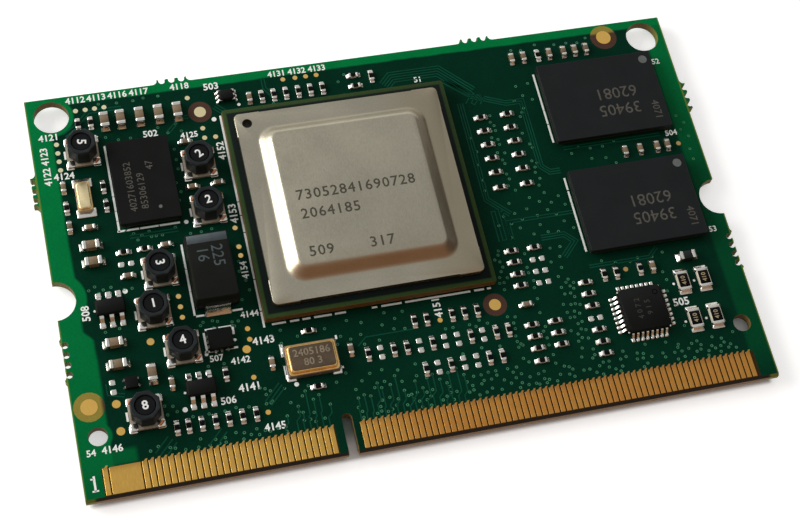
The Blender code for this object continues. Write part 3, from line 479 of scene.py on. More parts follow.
def solder_mask():
    """Green mask: dark over the copper planes, light along the edges, none between contacts."""
    tones = sizes("colours")
    made = Finish("solder_mask", 0.42, gloss=0.03)
    x, y, _ = made.board_place()
    edge = 3.0 - made.step(y, 15.3, 16.6) * 0.85
    wander = (made.noise(2.5) - 0.5) * 0.25
    over = made.step(x - edge + wander, -0.2, 0.2)
    over = over * (1 - made.step(x, 65.2, 65.7) * (0.25 + made.step(y, 22.0, 36.0) * 0.45))
    over = over * (1 - made.step(y + wander, 40.95, 41.2))
    for from_x, from_y, reach in CLEARINGS:
        over = over * made.step(made.away(x, y, from_x, from_y), reach - 0.15, reach + 0.15)
    over = over * (1 - made.band(x, 2.9, 5.2, 0.3) * made.band(y, 3.0, 4.4, 0.3) * 0.7)
    over = 1 - (1 - over) * (1 - made.step(y, 4.0, 0.5) * made.step(x, -40.0, 66.0) * 0.75)
    weave = (x * WEAVE).sine() * (y * WEAVE).sine()
    cloud, fine = made.noise(4.0, 3.0), made.noise(0.18, 3.0)
    blots = (cloud - 0.5) * 0.9 + (fine - 0.5) * 1.1 + 0.5
    dark = made.shade(tones.mask, 0.72, 1.3, blots)
    light = made.shade(tones.mask_light, 0.8, 1.18, blots + weave * 0.06)
    light = made.mix(made.step(y, 24.0, 6.0) * 0.35, light, (0.0003, 0.07, 0.022))
    green = made.mix(over, light, dark)
    rims = made.band(x, -0.05, 0.12, 0.04) + made.band(x, 67.48, 67.65, 0.04)
    green = made.mix(rims * 0.55, green, (0.23, 0.27, 0.03))
    rows = made.band(x, 1.8, 23.5).most(made.band(x, 25.9, 65.75)) * made.band(y, -2.0, 2.96)
    brown = made.shade((0.035, 0.021, 0.008), 0.7, 1.4, fine)
    relief = made.noise(0.9) * 0.5 + fine * 0.5 + weave * 0.08
    return made.set(Base_Color=made.mix(rows, green, brown),
                    Roughness=0.4 + (fine - 0.5) * 0.2 + rows * 0.2,
                    Normal=made.bump(relief, 0.01))


def laminate():
    """Cut and broken glass-fibre laminate, in thin layers, with painted shade on the contact
    edge's upper chamfer.
    """
    made = Finish("board_laminate", 0.6, gloss=0.25)
    x, y, z = made.board_place()
    layers = (z * LAYERS).sine() * 0.25 + 0.5
    fibres = made.noise(0.12, 3.0, (1.0, 1.0, 4.0))
    grain = layers * 0.4 + fibres * 0.6
    tone = made.shade(sizes("colours").laminate, 0.45, 1.6, grain)
    edge = made.step(y, 0.4, 0.3)
    tone = made.mix(edge, tone, made.shade((0.27, 0.16, 0.075), 0.6, 1.4, grain))
    # Painted shade: the upper chamfer of the contact edge is made near-black.
    chamfer_painted_shade = edge * made.step(z, -0.3, -0.2)
    tone = made.mix(chamfer_painted_shade, tone, made.shade((0.012, 0.007, 0.004), 0.6, 1.4, grain))
    ends = 1 - made.band(x, 0.9, 66.7, 0.2)
    tone = made.mix(ends * 0.8, tone, made.shade((0.16, 0.17, 0.022), 0.5, 1.5, grain))
    return made.set(Base_Color=tone, Roughness=0.5 + fibres * 0.25,
                    Normal=made.bump(fibres + layers * 0.4, 0.03))


def bare_laminate():
    """The rings without mask: red-brown over the copper planes, and yellow beside them."""
    made = Finish("bare_laminate", 0.5, gloss=0.3)
    x, y, _ = made.board_place()
    fine = made.noise(0.12, 3.0)
    over = made.step(x, 2.6, 3.0) * (1 - made.step(y, 40.75, 41.1))
    red = made.shade((0.062, 0.023, 0.011), 0.65, 1.35, fine)
    yellow = made.shade((0.27, 0.21, 0.026), 0.75, 1.25, fine)
    return made.set(Base_Color=made.mix(over, yellow, red), Roughness=0.45 + fine * 0.2,
                    Normal=made.bump(fine, 0.01))


def contact_gold():
    """Gold plating with rubbed marks along the contacts, browner towards the right as a painted
    darker reflection.
    """
    tones = sizes("colours")
    made = Finish("contact_gold", 0.36, 1.0)
    x, y, _ = made.board_place()
    rubbed = made.noise(0.22, 3.0, (0.35, 3.0, 1.0))
    cloud = made.noise(2.2, 2.0)
    # Painted darker reflection: the contacts grow browner towards the right.
    right = made.step(x, 20.0, 34.0) * 0.75 + (cloud - 0.5) * 0.5
    gold = made.shade(tones.gold, 0.75, 1.2, rubbed)
    brown = made.shade(tones.contact_reflection_brown, 0.7, 1.15, rubbed)
    end = made.step(y, 2.3, 3.0)
    tone = made.mix(end * 0.45, made.mix(right, gold, brown), (0.32, 0.16, 0.05))
    return made.set(Base_Color=tone, Roughness=0.3 + rubbed * 0.16 + cloud * 0.05,
                    Normal=made.bump(rubbed, 0.004))


def test_gold():
    """The small gold pads, with painted reflections: paler at the far left corner and browner
    towards the right.
    """
    made = Finish("test_gold", 0.3, 1.0)
    x, y, _ = made.board_place()
    fine = made.noise(0.12, 3.0)
    tone = made.shade((0.98, 0.57, 0.14), 0.85, 1.1, fine)
    # Painted reflection of the window: the pads grow paler towards the far left corner.
    tone = made.mix(made.step(made.away(x, y, 0.0, 42.0), 33.0, 10.0) * 0.95, tone,
                    (1.0, 0.98, 0.62))
    # Painted darker reflection: the pads grow browner towards the right.
    right = made.step(x, 34.0, 58.0) * made.step(y, 38.0, 30.0)
    tone = made.mix(right * 0.7, tone, (0.42, 0.28, 0.13))
    return made.set(Base_Color=tone, Roughness=0.24 + fine * 0.14,
                    Normal=made.bump(fine, 0.004))


def package_laminate():
    """The chip substrates: green mask above and cut brown laminate on the sides, with the lid's
    shadow painted near-black round the processor's lid.
    """
    made = Finish("package_laminate", 0.5, gloss=0.08)
    fine = made.noise(0.2, 3.0)
    top = made.shade((0.0085, 0.027, 0.0095), 0.7, 1.4, fine)
    x, y, _ = made.board_place()
    reach = abs(x - PROCESSOR[0]).most(abs(y - PROCESSOR[1]))
    # Painted shadow of the lid's rim: the substrate turns near-black next to the lid.
    top = made.mix(made.step(reach, 11.25, 11.0), top, (0.003, 0.0075, 0.006))
    top = made.mix(made.band(reach, 11.1, 11.7, 0.1), top,
                   made.shade((0.026, 0.052, 0.013), 0.7, 1.4, fine))
    side = made.shade((0.15, 0.075, 0.022), 0.6, 1.5, made.noise(0.15, 3.0, (1.0, 1.0, 0.3)))
    side = made.mix(made.step(reach, 11.8, 12.2), side, (0.02, 0.016, 0.01))
    return made.set(Base_Color=made.mix(made.upward(), side, top), Roughness=0.4 + fine * 0.2,
                    Normal=made.bump(fine, 0.006))


def lid_nickel():
    """Satin nickel with a fine rolled grain, handling clouds and a duller rim, with painted
    reflections: darker and warmer on the rim's right part, orange on slopes that face the contact
    edge and darker on slopes that face right.
    """
    made = Finish("lid_nickel", 0.36, 1.0)
    x, y, z = made.board_place()
    rolled = made.noise(0.13, 3.0, (0.6, 2.0, 1.0))
    cloud = made.noise(5.5, 3.0)
    scuffs = made.step(made.noise(0.6, 4.0, (0.25, 1.6, 1.0)), 0.66, 0.74)
    blots = (cloud - 0.5) * 1.1 + (rolled - 0.5) * 1.3 + 0.5
    tone = made.shade(sizes("colours").nickel, 0.82, 1.16, blots)
    rim = made.step(z, 2.3, 2.0)
    tone = made.mix(rim * 0.1, tone, (0.4, 0.38, 0.3))
    # Painted reflection: the rim's right part turns darker and warmer.
    tone = made.mix(rim * made.step(x, 33.0, 40.0) * 0.55, tone, (0.3, 0.24, 0.15))
    # Painted reflections by the way a face looks: orange on slopes that face the contact edge,
    # darker on slopes that face right.
    facing = made.node("ShaderNodeNewGeometry", out="Normal")
    across, along = made.apart(facing, "XY")
    tone = made.mix(made.step(along, -0.1, -0.4) * 0.5, tone, (0.36, 0.19, 0.09))
    tone = made.mix(made.step(across, 0.1, 0.4) * 0.25, tone, (0.2, 0.13, 0.07))
    return made.set(Base_Color=tone,
                    Roughness=0.39 + (cloud - 0.5) * 0.12 + (rolled - 0.5) * 0.16 + scuffs * 0.07,
                    Normal=made.bump(rolled + scuffs * 0.4, 0.005))


def moulding(name="moulding", tone=None, roughness=0.55, gloss=0.07):
    """Moulding compound: matt black with filler grain and a faint sheen on worn edges."""
    tone = tone or sizes("colours").moulding
    made = Finish(name, roughness, gloss=gloss)
    filler, cloud = made.noise(0.07, 2.0), made.noise(2.4, 2.0)
    rub = made.step(made.noise(0.5, 4.0), 0.6, 0.75)
    blots = (filler - 0.5) * 1.4 + (cloud - 0.5) * 0.8 + 0.5
    return made.set(Base_Color=made.shade(tone, 0.7, 1.35, blots),
                    Roughness=roughness + (cloud - 0.5) * 0.2 - rub * 0.08,
                    Normal=made.bump(filler, 0.006))


def tin():
    """Reflowed solder and tinned metal: bright, faintly rippled and clouded with flux."""
    made = Finish("solder_tin", 0.32, 1.0)
    ripple, cloud = made.noise(0.3, 2.0), made.noise(0.8, 2.0)
    tone = made.shade(sizes("colours").tin, 0.78, 1.08, cloud)
    flux = made.step(cloud, 0.58, 0.72)
    return made.set(Base_Color=made.mix(flux * 0.35, tone, (0.75, 0.62, 0.4)),
                    Roughness=0.15 + cloud * 0.2, Normal=made.bump(ripple, 0.025))


def finishes():
    """Every material by its name, made once from the scene's colours."""
    tones = sizes("colours")
    made = [
        solder_mask(), laminate(), bare_laminate(), contact_gold(), package_laminate(),
        lid_nickel(), moulding(), tin(), test_gold(),
        plain("print_ink", tones.ink, 0.6, grain=0.1, low=0.86, high=1.0, depth=0.003),
        plain("trace_mask", (0.0015, 0.06, 0.032), 0.4, grain=0.3, low=0.75, high=1.3,
              gloss=0.08),
        plain("via_mask", (0.055, 0.22, 0.115), 0.36, grain=0.15, low=0.6, high=1.45,
              gloss=0.12),
        plain("silicon", (0.09, 0.09, 0.11), 0.2, 0.4, grain=0.4, depth=0.001),
        moulding("memory_moulding", (0.0098, 0.0118, 0.0128), 0.55, 0.14),
        moulding("tantalum_moulding", (0.0078, 0.009, 0.0068), 0.5, 0.1),
        plain("tantalum_band", (0.05, 0.068, 0.077), 0.55, grain=0.12, low=0.7, high=1.35),
        plain("laser_mark", (0.075, 0.068, 0.055), 0.7, grain=0.08, low=0.6, high=1.4),
        plain("lid_mark", (0.05, 0.045, 0.026), 0.6, grain=0.08, low=0.7, high=1.4),
        plain("pin_mark", (0.11, 0.12, 0.115), 0.6, grain=0.1, low=0.8, high=1.25),
        plain("ferrite", tones.ferrite, 0.5, grain=0.12, low=0.65, high=1.5, depth=0.008,
              gloss=0.17),
        plain("core_ferrite", (0.0055, 0.006, 0.007), 0.5, grain=0.12, low=0.65, high=1.5,
              depth=0.006, gloss=0.1),
        plain("white_figure", (0.92, 0.94, 0.92), 0.55, grain=0.08, low=0.8, high=1.0),
        plain("copper_wire", (0.74, 0.3, 0.13), 0.32, 1.0, grain=0.1),
        plain("ceramic_base", tones.ceramic, 0.5, grain=0.14, low=0.78, high=1.15),
        plain("inductor_base", (0.24, 0.205, 0.145), 0.5, grain=0.12, low=0.6, high=1.5),
        plain("package_ceramic", (0.13, 0.1, 0.075), 0.5, grain=0.14, low=0.7, high=1.3),
        plain("gold_rim", (0.82, 0.52, 0.19), 0.3, 1.0, grain=0.15),
        plain("oscillator_metal", (0.125, 0.088, 0.058), 0.42, 0.85, grain=0.2, low=0.75),
        plain("clock_metal", (0.86, 0.72, 0.42), 0.38, 1.0, grain=0.2, low=0.85, high=1.1),
        plain("capacitor_body", (0.17, 0.12, 0.066), 0.5, grain=0.1, low=0.45, high=1.6,
              shaded=True),
        plain("resistor_glass", (0.0025, 0.0025, 0.003), 0.38, grain=0.1, low=0.6, high=1.6,
              gloss=0.07),
        plain("glass_figure", (0.42, 0.33, 0.18), 0.6, grain=0.06, low=0.6, high=1.3),
        plain("faint_figure", (0.024, 0.022, 0.016), 0.7, grain=0.08, low=0.6, high=1.4),
        plain("resistor_ceramic", (0.66, 0.62, 0.5), 0.5, grain=0.1, low=0.8, high=1.1),
        plain("can_mark", (0.23, 0.185, 0.125), 0.5, grain=0.08, low=0.7, high=1.3),
        plain("adhesive", (0.012, 0.011, 0.01), 0.6, grain=0.15),
    ]
    return {material.name: material for material in made}


# Every finish by its name, made once when the first one is asked for
MATERIALS = {}


def material(name):
    """A finish by its name; all are made the first time that one is asked for."""
    if not MATERIALS:
        MATERIALS.update(finishes())
    return MATERIALS[name]


def arc(centre, radius, first, last, steps):
    """Points on an arc, with its angles in degrees."""
    turns = [math.radians(first + (last - first) * n / steps) for n in range(steps + 1)]
    return [(centre[0] + radius * math.cos(a), centre[1] + radius * math.sin(a)) for a in turns]


def circle(radius, z, steps, start=0.0):
    """The points of a circle at a height."""
    return [(x, y, z) for x, y in arc((0, 0), radius, start, start + 360, steps)[:-1]]


def ring(width, depth, corner, z, steps=3, at=(0.0, 0.0)):
    """The points of a rectangle with round corners, at a height."""
    corner = min(corner, width / 2 - 1e-6, depth / 2 - 1e-6)
    points = []
    for quarter, (sx, sy) in enumerate(CORNERS):
        centre = (at[0] + sx * (width / 2 - corner), at[1] + sy * (depth / 2 - corner))
        points += arc(centre, corner, 90 * quarter, 90 * quarter + 90, steps)
    return [(x, y, z) for x, y in points]


def moved(x=0.0, y=0.0, z=0.0, turn=0.0):
    """A place and a turn about Z as a matrix, in metres."""
    return Matrix.Translation((x, y, z)) @ Matrix.Rotation(turn, 4, 'Z')


def on_board(x, y, z=0.0, turn=0.0):
    """The same from millimetres on the board."""
    return moved(x * MM, y * MM, z, turn)


class Shape:
    """Closed forms gathered in one mesh, in metres from the board's corner."""

    def __init__(self, smooth=40.0):
        self.bm = bmesh.new()
        self.smooth = smooth

    def transform(self, matrix, verts=None):
        """Moves some points, or all."""
        bmesh.ops.transform(self.bm, matrix=matrix, verts=verts or self.bm.verts)
        return self

    def underneath(self, thickness):
        """Mirrors the whole shape to the underside of the board."""
        flip = Matrix.Diagonal((1.0, 1.0, -1.0, 1.0))
        return self.transform(Matrix.Translation((0.0, 0.0, -thickness)) @ flip)

    def loft(self, rings, matrix=None, hollow=False):
        """A form through rings of points: closed at both ends, or hollow from last to first."""
        rows = [[self.bm.verts.new(point) for point in points] for points in rings]
        for low, high in zip(rows, rows[1:] + rows[:1] if hollow else rows[1:]):
            for a in range(len(low)):
                b = (a + 1) % len(low)
                self.bm.faces.new((low[a], low[b], high[b], high[a]))
        if not hollow:
            self.bm.faces.new(rows[-1])
            self.bm.faces.new(reversed(rows[0]))
        return self.transform(matrix, [vert for row in rows for vert in row]) if matrix else self

    def box(self, width, depth, low, high, matrix=None, corner=0.04 * MM, edge=0.03 * MM,
            steps=2):
        """A block with round corners and broken edges."""
        return self.loft([ring(width - 2 * inset, depth - 2 * inset, corner, z, steps)
                          for z, inset in ((low, edge), (low + edge, 0.0), (high - edge, 0.0),
                                           (high, edge))], matrix)

    def disc(self, radius, low, high, matrix=None, steps=16):
        """An upright disc."""
        return self.loft([circle(radius, z, steps) for z in (low, high)], matrix)

    def solder(self, rows, outline, matrix=None):
        """Joints at both ends of a part, from rows and the outline that each of them has."""
        for side in (-1, 1):
            self.loft([[(side * x, side * y, z) for x, y, z in outline(*row)] for row in rows],
                      matrix)
        return self

    def add(self, mesh, matrix=None):
        """Another mesh, moved by a matrix."""
        first = len(self.bm.verts)
        self.bm.from_mesh(mesh)
        self.bm.verts.ensure_lookup_table()
        return self.transform(matrix, self.bm.verts[first:]) if matrix else self

    def write(self, texts, height, turn=0.0, z=0.0, **look):
        """Plain figures, each given as its text and its middle's x and y in millimetres."""
        for text, x, y in texts:
            self.add(figures(text, height * MM, (x, y), turn, z, **look))
        return self

    def mesh(self):
        """The gathered mesh with its faces outwards and its slight bends smooth."""
        bmesh.ops.recalc_face_normals(self.bm, faces=self.bm.faces)
        return softened(self.raw(), self.smooth)

    def raw(self):
        """The gathered mesh as it is."""
        mesh = bpy.data.meshes.new("shape")
        self.bm.to_mesh(mesh)
        return mesh


def softened(mesh, angle):
    """A mesh with its bends smooth up to an angle in degrees."""
    mesh.shade_smooth()
    mesh.set_sharp_from_angle(angle=math.radians(angle))
    return mesh


def linked(name, data):
    """A new object in the scene that holds some data."""
    made = bpy.data.objects.new(name, data)
    bpy.context.scene.collection.objects.link(made)
    return made


def evaluated(holder):
    """The plain mesh of an object after its modifiers, which then goes."""
    graph = bpy.context.evaluated_depsgraph_get()
    mesh = bpy.data.meshes.new_from_object(holder.evaluated_get(graph))
    holder.modifiers.clear()
    bpy.data.objects.remove(holder, do_unlink=True)
    return mesh


def without(shape, cutter):
    """A shape's mesh less the space of another."""
    made, other = linked("holder", shape.mesh()), linked("cutter", cutter.mesh())
    cut = made.modifiers.new("cut", 'BOOLEAN')
    cut.operation, cut.solver, cut.object = 'DIFFERENCE', 'EXACT', other
    result = evaluated(made)
    bpy.data.objects.remove(other, do_unlink=True)
    return softened(result, 35)


def keep(name, shape, finish, nodes=(), spots=None):
    """A finished piece: copied to its spots or in its place, and riding on the body."""
    if spots:
        shape = copies(shape, spots, finish)
    mesh = shape.mesh() if isinstance(shape, Shape) else shape
    mesh.name = name
    mesh.transform(Matrix.Translation(CORNER))
    mesh.materials.clear()
    mesh.materials.append(material(finish))
    made = linked(name, mesh)
    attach(made, "root")
    if nodes:
        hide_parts(*nodes)
    return made


class Growth(Tree):
    """A geometry tree in the making, with named inputs and one output."""

    def __init__(self, name, **inputs):
        super().__init__(bpy.data.node_groups.new(name, 'GeometryNodeTree'))
        face = self.tree.interface
        face.new_socket("Form", in_out='INPUT', socket_type='NodeSocketGeometry')
        for label, kind in inputs.items():
            face.new_socket(label, in_out='INPUT', socket_type='NodeSocket' + kind)
        face.new_socket("Form", in_out='OUTPUT', socket_type='NodeSocketGeometry')
        self.given = self.tree.nodes.new("NodeGroupInput")

    def take(self, label):
        """The value of one of the tree's inputs."""
        return Value(self, self.given.outputs[label])

    def instances(self, points, **more):
        """The template at each point, made real, with its finish; gives the tree."""
        template = self.node("GeometryNodeObjectInfo", sockets={
            "Object": self.take("Template"), "As Instance": True}, out="Geometry")
        return self.end(self.node("GeometryNodeInstanceOnPoints", sockets={
            "Points": points, "Instance": template, **more}))

    def end(self, form):
        """Makes the result real geometry with its finish, and gives the tree."""
        real = self.node("GeometryNodeRealizeInstances", sockets={0: form})
        done = self.node("GeometryNodeSetMaterial",
                         sockets={"Geometry": real, "Material": self.take("Finish")})
        self.feed(self.tree.nodes.new("NodeGroupOutput").inputs[0], done)
        return self.tree


def copies_tree():
    """A copy of a template at each point, with the point's own turn and stretch."""
    grown = Growth("copies", Template='Object', Finish='Material')
    turn = grown.node("GeometryNodeInputNamedAttribute", {"data_type": 'FLOAT'}, {0: "turn"})
    stretch = grown.node("GeometryNodeInputNamedAttribute", {"data_type": 'FLOAT_VECTOR'},
                         {0: "stretch"})
    euler = grown.node("ShaderNodeCombineXYZ", sockets={"Z": turn})
    spun = grown.node("FunctionNodeEulerToRotation", sockets={0: euler})
    return grown.instances(grown.take("Form"), Rotation=spun, Scale=stretch)


def row_tree():
    """A straight row of copies at one pitch."""
    grown = Growth("row", Template='Object', Finish='Material', Count='Int', Pitch='Float',
                   Start='Vector')
    offset = grown.node("ShaderNodeCombineXYZ", sockets={"X": grown.take("Pitch")})
    line = grown.node("GeometryNodeMeshLine", {"mode": 'OFFSET'}, {
        "Count": grown.take("Count"), "Start Location": grown.take("Start"), "Offset": offset})
    return grown.instances(line)


def grid_tree():
    """Copies on a square grid, without those nearer the middle than a clear half-width."""
    grown = Growth("grid", Template='Object', Finish='Material', Columns='Int', Rows='Int',
                   Width='Float', Depth='Float', Clear_width='Float', Clear_depth='Float')
    grid = grown.node("GeometryNodeMeshGrid", sockets={
        "Size X": grown.take("Width"), "Size Y": grown.take("Depth"),
        "Vertices X": grown.take("Columns"), "Vertices Y": grown.take("Rows")})
    place = grown.node("GeometryNodeInputPosition")
    x, y = grown.apart(place, "XY")
    inner = (abs(x).below(grown.take("Clear_width")) * abs(y).below(grown.take("Clear_depth")))
    kept = grown.node("GeometryNodeDeleteGeometry", sockets={
        "Geometry": grid, "Selection": inner})
    return grown.instances(kept)


def scatter_tree():
    """Copies strewn over faces, snapped to a grid, no nearer to each other than a spacing."""
    grown = Growth("scatter", Template='Object', Finish='Material', Spacing='Float',
                   Grid='Float', Seed='Int')
    strewn = grown.node("GeometryNodeDistributePointsOnFaces", {"distribute_method": 'POISSON'},
                        {"Mesh": grown.take("Form"), "Distance Min": grown.take("Spacing"),
                         "Density Max": VIA_DENSITY, "Density Factor": 1.0,
                         "Seed": grown.take("Seed")})
    place = grown.node("GeometryNodeInputPosition")
    pitch = grown.node("ShaderNodeCombineXYZ", sockets={
        "X": grown.take("Grid"), "Y": grown.take("Grid"), "Z": 1.0 * MM})
    snapped = grown.node("ShaderNodeVectorMath", {"operation": 'SNAP'}, {0: place, 1: pitch})
    tidy = grown.node("GeometryNodeSetPosition", sockets={
        "Geometry": strewn, "Position": snapped})
    single = grown.node("GeometryNodeMergeByDistance", sockets={
        "Geometry": tidy, "Distance": grown.take("Grid") * 0.5})
    return grown.instances(single)


def ribbon_tree():
    """Flat strips along curves."""
    grown = Growth("ribbon", Finish='Material', Width='Float', Height='Float')
    upright = grown.node("GeometryNodeSetCurveNormal", sockets={"Curve": grown.take("Form")})
    upright.socket.node.mode = 'Z_UP'
    profile = grown.node("GeometryNodeCurvePrimitiveQuadrilateral", sockets={
        "Width": grown.take("Width"), "Height": grown.take("Height")})
    return grown.end(grown.node("GeometryNodeCurveToMesh", sockets={
        "Curve": upright, "Profile Curve": profile, "Fill Caps": True}))


TREES = {}


def grow(kind, data, template=None, **given):
    """The plain mesh that one of the trees makes from some data and its named inputs."""
    makers = {"copies": copies_tree, "row": row_tree, "grid": grid_tree,
              "scatter": scatter_tree, "ribbon": ribbon_tree}
    if kind not in TREES:
        TREES[kind] = makers[kind]()
    if template:
        given["Template"] = linked("template", template.mesh())
    holder = linked("holder", data or bpy.data.meshes.new("seed"))
    modifier = holder.modifiers.new("grow", 'NODES')
    modifier.node_group = TREES[kind]
    for item in TREES[kind].interface.items_tree:
        if item.in_out == 'INPUT' and item.name in given:
            modifier[item.identifier] = given[item.name]
    mesh = evaluated(holder)
    if template:
        bpy.data.objects.remove(given["Template"], do_unlink=True)
    return mesh


def copies(template, places, finish):
    """Copies of a template: each place is x, y and optionally z, turn and stretch."""
    points = bpy.data.meshes.new("points")
    points.from_pydata([(p[0], p[1], p[2] if len(p) > 2 else 0.0) for p in places], [], [])
    for name, kind in (("turn", 'FLOAT'), ("stretch", 'FLOAT_VECTOR'), ("tone", 'FLOAT')):
        points.attributes.new(name, kind, 'POINT')
    turn, stretch, tone = (points.attributes[name].data for name in ("turn", "stretch", "tone"))
    luck = random.Random(len(places))
    for number, place in enumerate(places):
        turn[number].value = place[3] if len(place) > 3 else 0.0
        stretch[number].vector = place[4] if len(place) > 4 else (1.0, 1.0, 1.0)
        tone[number].value = luck.random()
    return grow("copies", points, template, Finish=material(finish))


def ribbons(paths, width, height, finish):
    """Flat strips along paths of x and y in millimetres, bottom on the board's face."""
    curve = bpy.data.curves.new("paths", 'CURVE')
    curve.dimensions = '3D'
    for path in paths:
        spline = curve.splines.new('POLY')
        spline.points.add(len(path) - 1)
        for point, place in zip(spline.points, path):
            point.co = (place[0] * MM, place[1] * MM, 0.0, 1.0)
    return grow("ribbon", curve, Finish=material(finish), Width=width, Height=height)


# Share of a font's size that its figures fill
FIGURE_SHARE = 0.7


def figures(text, height, at, turn=0.0, z=0.0, ink=0.01 * MM, align='CENTER', bold=0.012,
            spread=1.0):
    """Plain figures as a thin mesh: their height in metres and the place of their middle."""
    font = bpy.data.curves.new("figures", 'FONT')
    font.body = text
    font.size = height / FIGURE_SHARE
    font.extrude = ink / 2
    font.offset = bold * font.size
    font.space_character = spread
    font.resolution_u = 2
    font.align_x, font.align_y = align, 'CENTER'
    mesh = evaluated(linked("holder", font))
    mesh.materials.clear()
    mesh.transform(on_board(at[0], at[1], z + ink / 2, turn))
    return mesh


def places(rows, columns, z=0.0):
    """Places of upright rows and flat columns, in metres, for copies()."""
    upright = [(x * MM, y * MM, z, QUARTER) for y, row in rows for x in row]
    flat = [(x * MM, y * MM, z, 0.0) for x, column in columns for y in column]
    return upright + flat


def spots_at(points, z=0.0, turn=0.0):
    """Places for copies() from x and y in millimetres."""
    return [(x * MM, y * MM, z, turn) for x, y in points]


def dots(marks, height, finish, steps=20):
    """Flat dots, each given as x, y and diameter in millimetres."""
    dot = Shape().disc(0.5, 0.0, 1.0, steps=steps)
    return copies(dot, [(x * MM, y * MM, 0.0, 0.0, (d * MM, d * MM, height))
                        for x, y, d in marks], finish)


def beside_chip(at, quarter, out, count, pitch, z=0.0):
    """Places of a row of leads along one side of a chip, turned by quarter turns."""
    turn = Matrix.Rotation(quarter * QUARTER, 4, 'Z')
    points = [turn @ Vector((out, (number - (count - 1) / 2) * pitch, 0))
              for number in range(count)]
    return [(at[0] + point.x, at[1] + point.y, z, quarter * QUARTER) for point in points]


class Maker(bpy.types.Operator):
    """Makes some pieces of the module."""
    bl_idname = "module.maker"
    bl_label = "Pieces"

    def execute(self, context):
        self.make()
        return {'FINISHED'}

    def make(self):
        raise NotImplementedError(self.bl_idname)


# Middles of the broken tabs: the sunk ones up both sides, the proud ones up the right and the
# left side, and along the far edge
SUNK_TABS = 13.9
RIGHT_TAB, LEFT_TAB = 32.05, 31.85
FAR_TABS = (47.0, 14.85)


def proud_tab(board):
    """A tab remnant: along the edge and outwards, from concave foot to concave foot."""
    half = 1.5 * board.bite_pitch
    foot = half + board.tab_foot
    rise = [(min(along, -half), out) for along, out in arc(
        (-foot, board.tab_reach), board.tab_reach, -90, 0, 6)]
    run = list(rise)
    for number in (-1, 0, 1):
        middle = number * board.bite_pitch
        run += arc((middle, board.bite), board.bite, 160, 380, 12)
        if number < 1:
            run.append((middle + board.bite_pitch / 2, board.tab_reach * 0.94))
    return run + [(-along, out) for along, out in reversed(rise)]


def sunk_tab(board):
    """A tab that broke off along its holes: bites in the edge between two small spikes."""
    half = 2 * board.bite_pitch
    run = [(-half - board.bite_pitch / 4, 0.0), (-half, board.sunk_spike)]
    for number in range(4):
        middle = (number - 1.5) * board.bite_pitch
        run += arc((middle, board.bite - board.sunk_bite), board.bite, 125, 415, 14)
        if number < 3:
            run.append((middle + board.bite_pitch / 2, 0.0))
    return run + [(half, board.sunk_spike), (half + board.bite_pitch / 4, 0.0)]


def board_loops(board):
    """The board's outline and its holes."""
    key_left = board.key_from_left - board.key_width / 2
    notch = arc((0.0, 0.0), board.side_notch, 180, 360, 28)
    outline = [(0.0, 0.0), (key_left, 0.0)]
    outline += arc((board.key_from_left, board.key_depth - board.key_width / 2),
                   board.key_width / 2, 180, 0, 14)
    outline += [(key_left + board.key_width, 0.0), (board.width, 0.0)]
    for up, shape in ((SUNK_TABS * MM, sunk_tab(board)), (board.side_notch_up, notch),
                      (RIGHT_TAB * MM, proud_tab(board))):
        outline += [(board.width + out, up + along) for along, out in shape]
    outline.append((board.width, board.depth))
    for from_left in FAR_TABS:
        outline += [(from_left * MM - along, board.depth + out) for along, out in proud_tab(board)]
    outline.append((0.0, board.depth))
    for up, shape in ((LEFT_TAB * MM, proud_tab(board)), (board.side_notch_up, notch),
                      (SUNK_TABS * MM, sunk_tab(board))):
        outline += [(-out, up - along) for along, out in shape]
    loops = [outline]
    for inset, up, radius in (
            (board.mount_hole_in, board.depth - board.mount_hole_down, board.mount_hole),
            (board.small_hole_in, board.small_hole_up, board.small_hole)):
        loops += [arc((x, up), radius, 0, 360, 40)[:-1] for x in (inset, board.width - inset)]
    return loops


class MODULE_OT_board(Maker):
    """Makes the bare board with its notches, holes, chamfers and tab remnants."""
    bl_idname = "module.board"
    bl_label = "Board"

    def make(self):
        board = sizes("board")
        curve = bpy.data.curves.new("outline", 'CURVE')
        curve.dimensions, curve.fill_mode = '2D', 'BOTH'
        curve.extrude = board.thickness / 2
        for loop in board_loops(board):
            spline = curve.splines.new('POLY')
            spline.points.add(len(loop) - 1)
            spline.use_cyclic_u = True
            for point, (x, y) in zip(spline.points, loop):
                point.co = (x, y, 0.0, 1.0)
        core = evaluated(linked("holder", curve))
        core.transform(Matrix.Translation((0.0, 0.0, -board.thickness / 2)))
        whole = Shape().add(core)
        bmesh.ops.remove_doubles(whole.bm, verts=whole.bm.verts, dist=1e-7)
        wedge = Shape()
        side = 4 * board.chamfer
        for z, up in ((0.0, 1), (-board.thickness, -1)):
            lean = up * (side / 2 - board.chamfer / math.sqrt(2)) / math.sqrt(2)
            wedge.box(board.width * 1.2, side, -side / 2, side / 2, Matrix.Translation(
                (board.width / 2, -abs(lean), z + lean)) @ Matrix.Rotation(QUARTER / 2, 4, 'X'),
                edge=0.0, corner=0.0, steps=1)
        mesh = without(whole, wedge)
        mesh.materials.clear()
        made = keep("board", mesh, "solder_mask", ["circuit_board"])
        made.data.materials.append(material("board_laminate"))
        for face in made.data.polygons:
            face.material_index = 0 if abs(face.normal.z) > 0.9 else 1
            face.use_smooth = False


# How far a contact's foot runs into the board
CONTACT_FOOT = 0.02 * MM


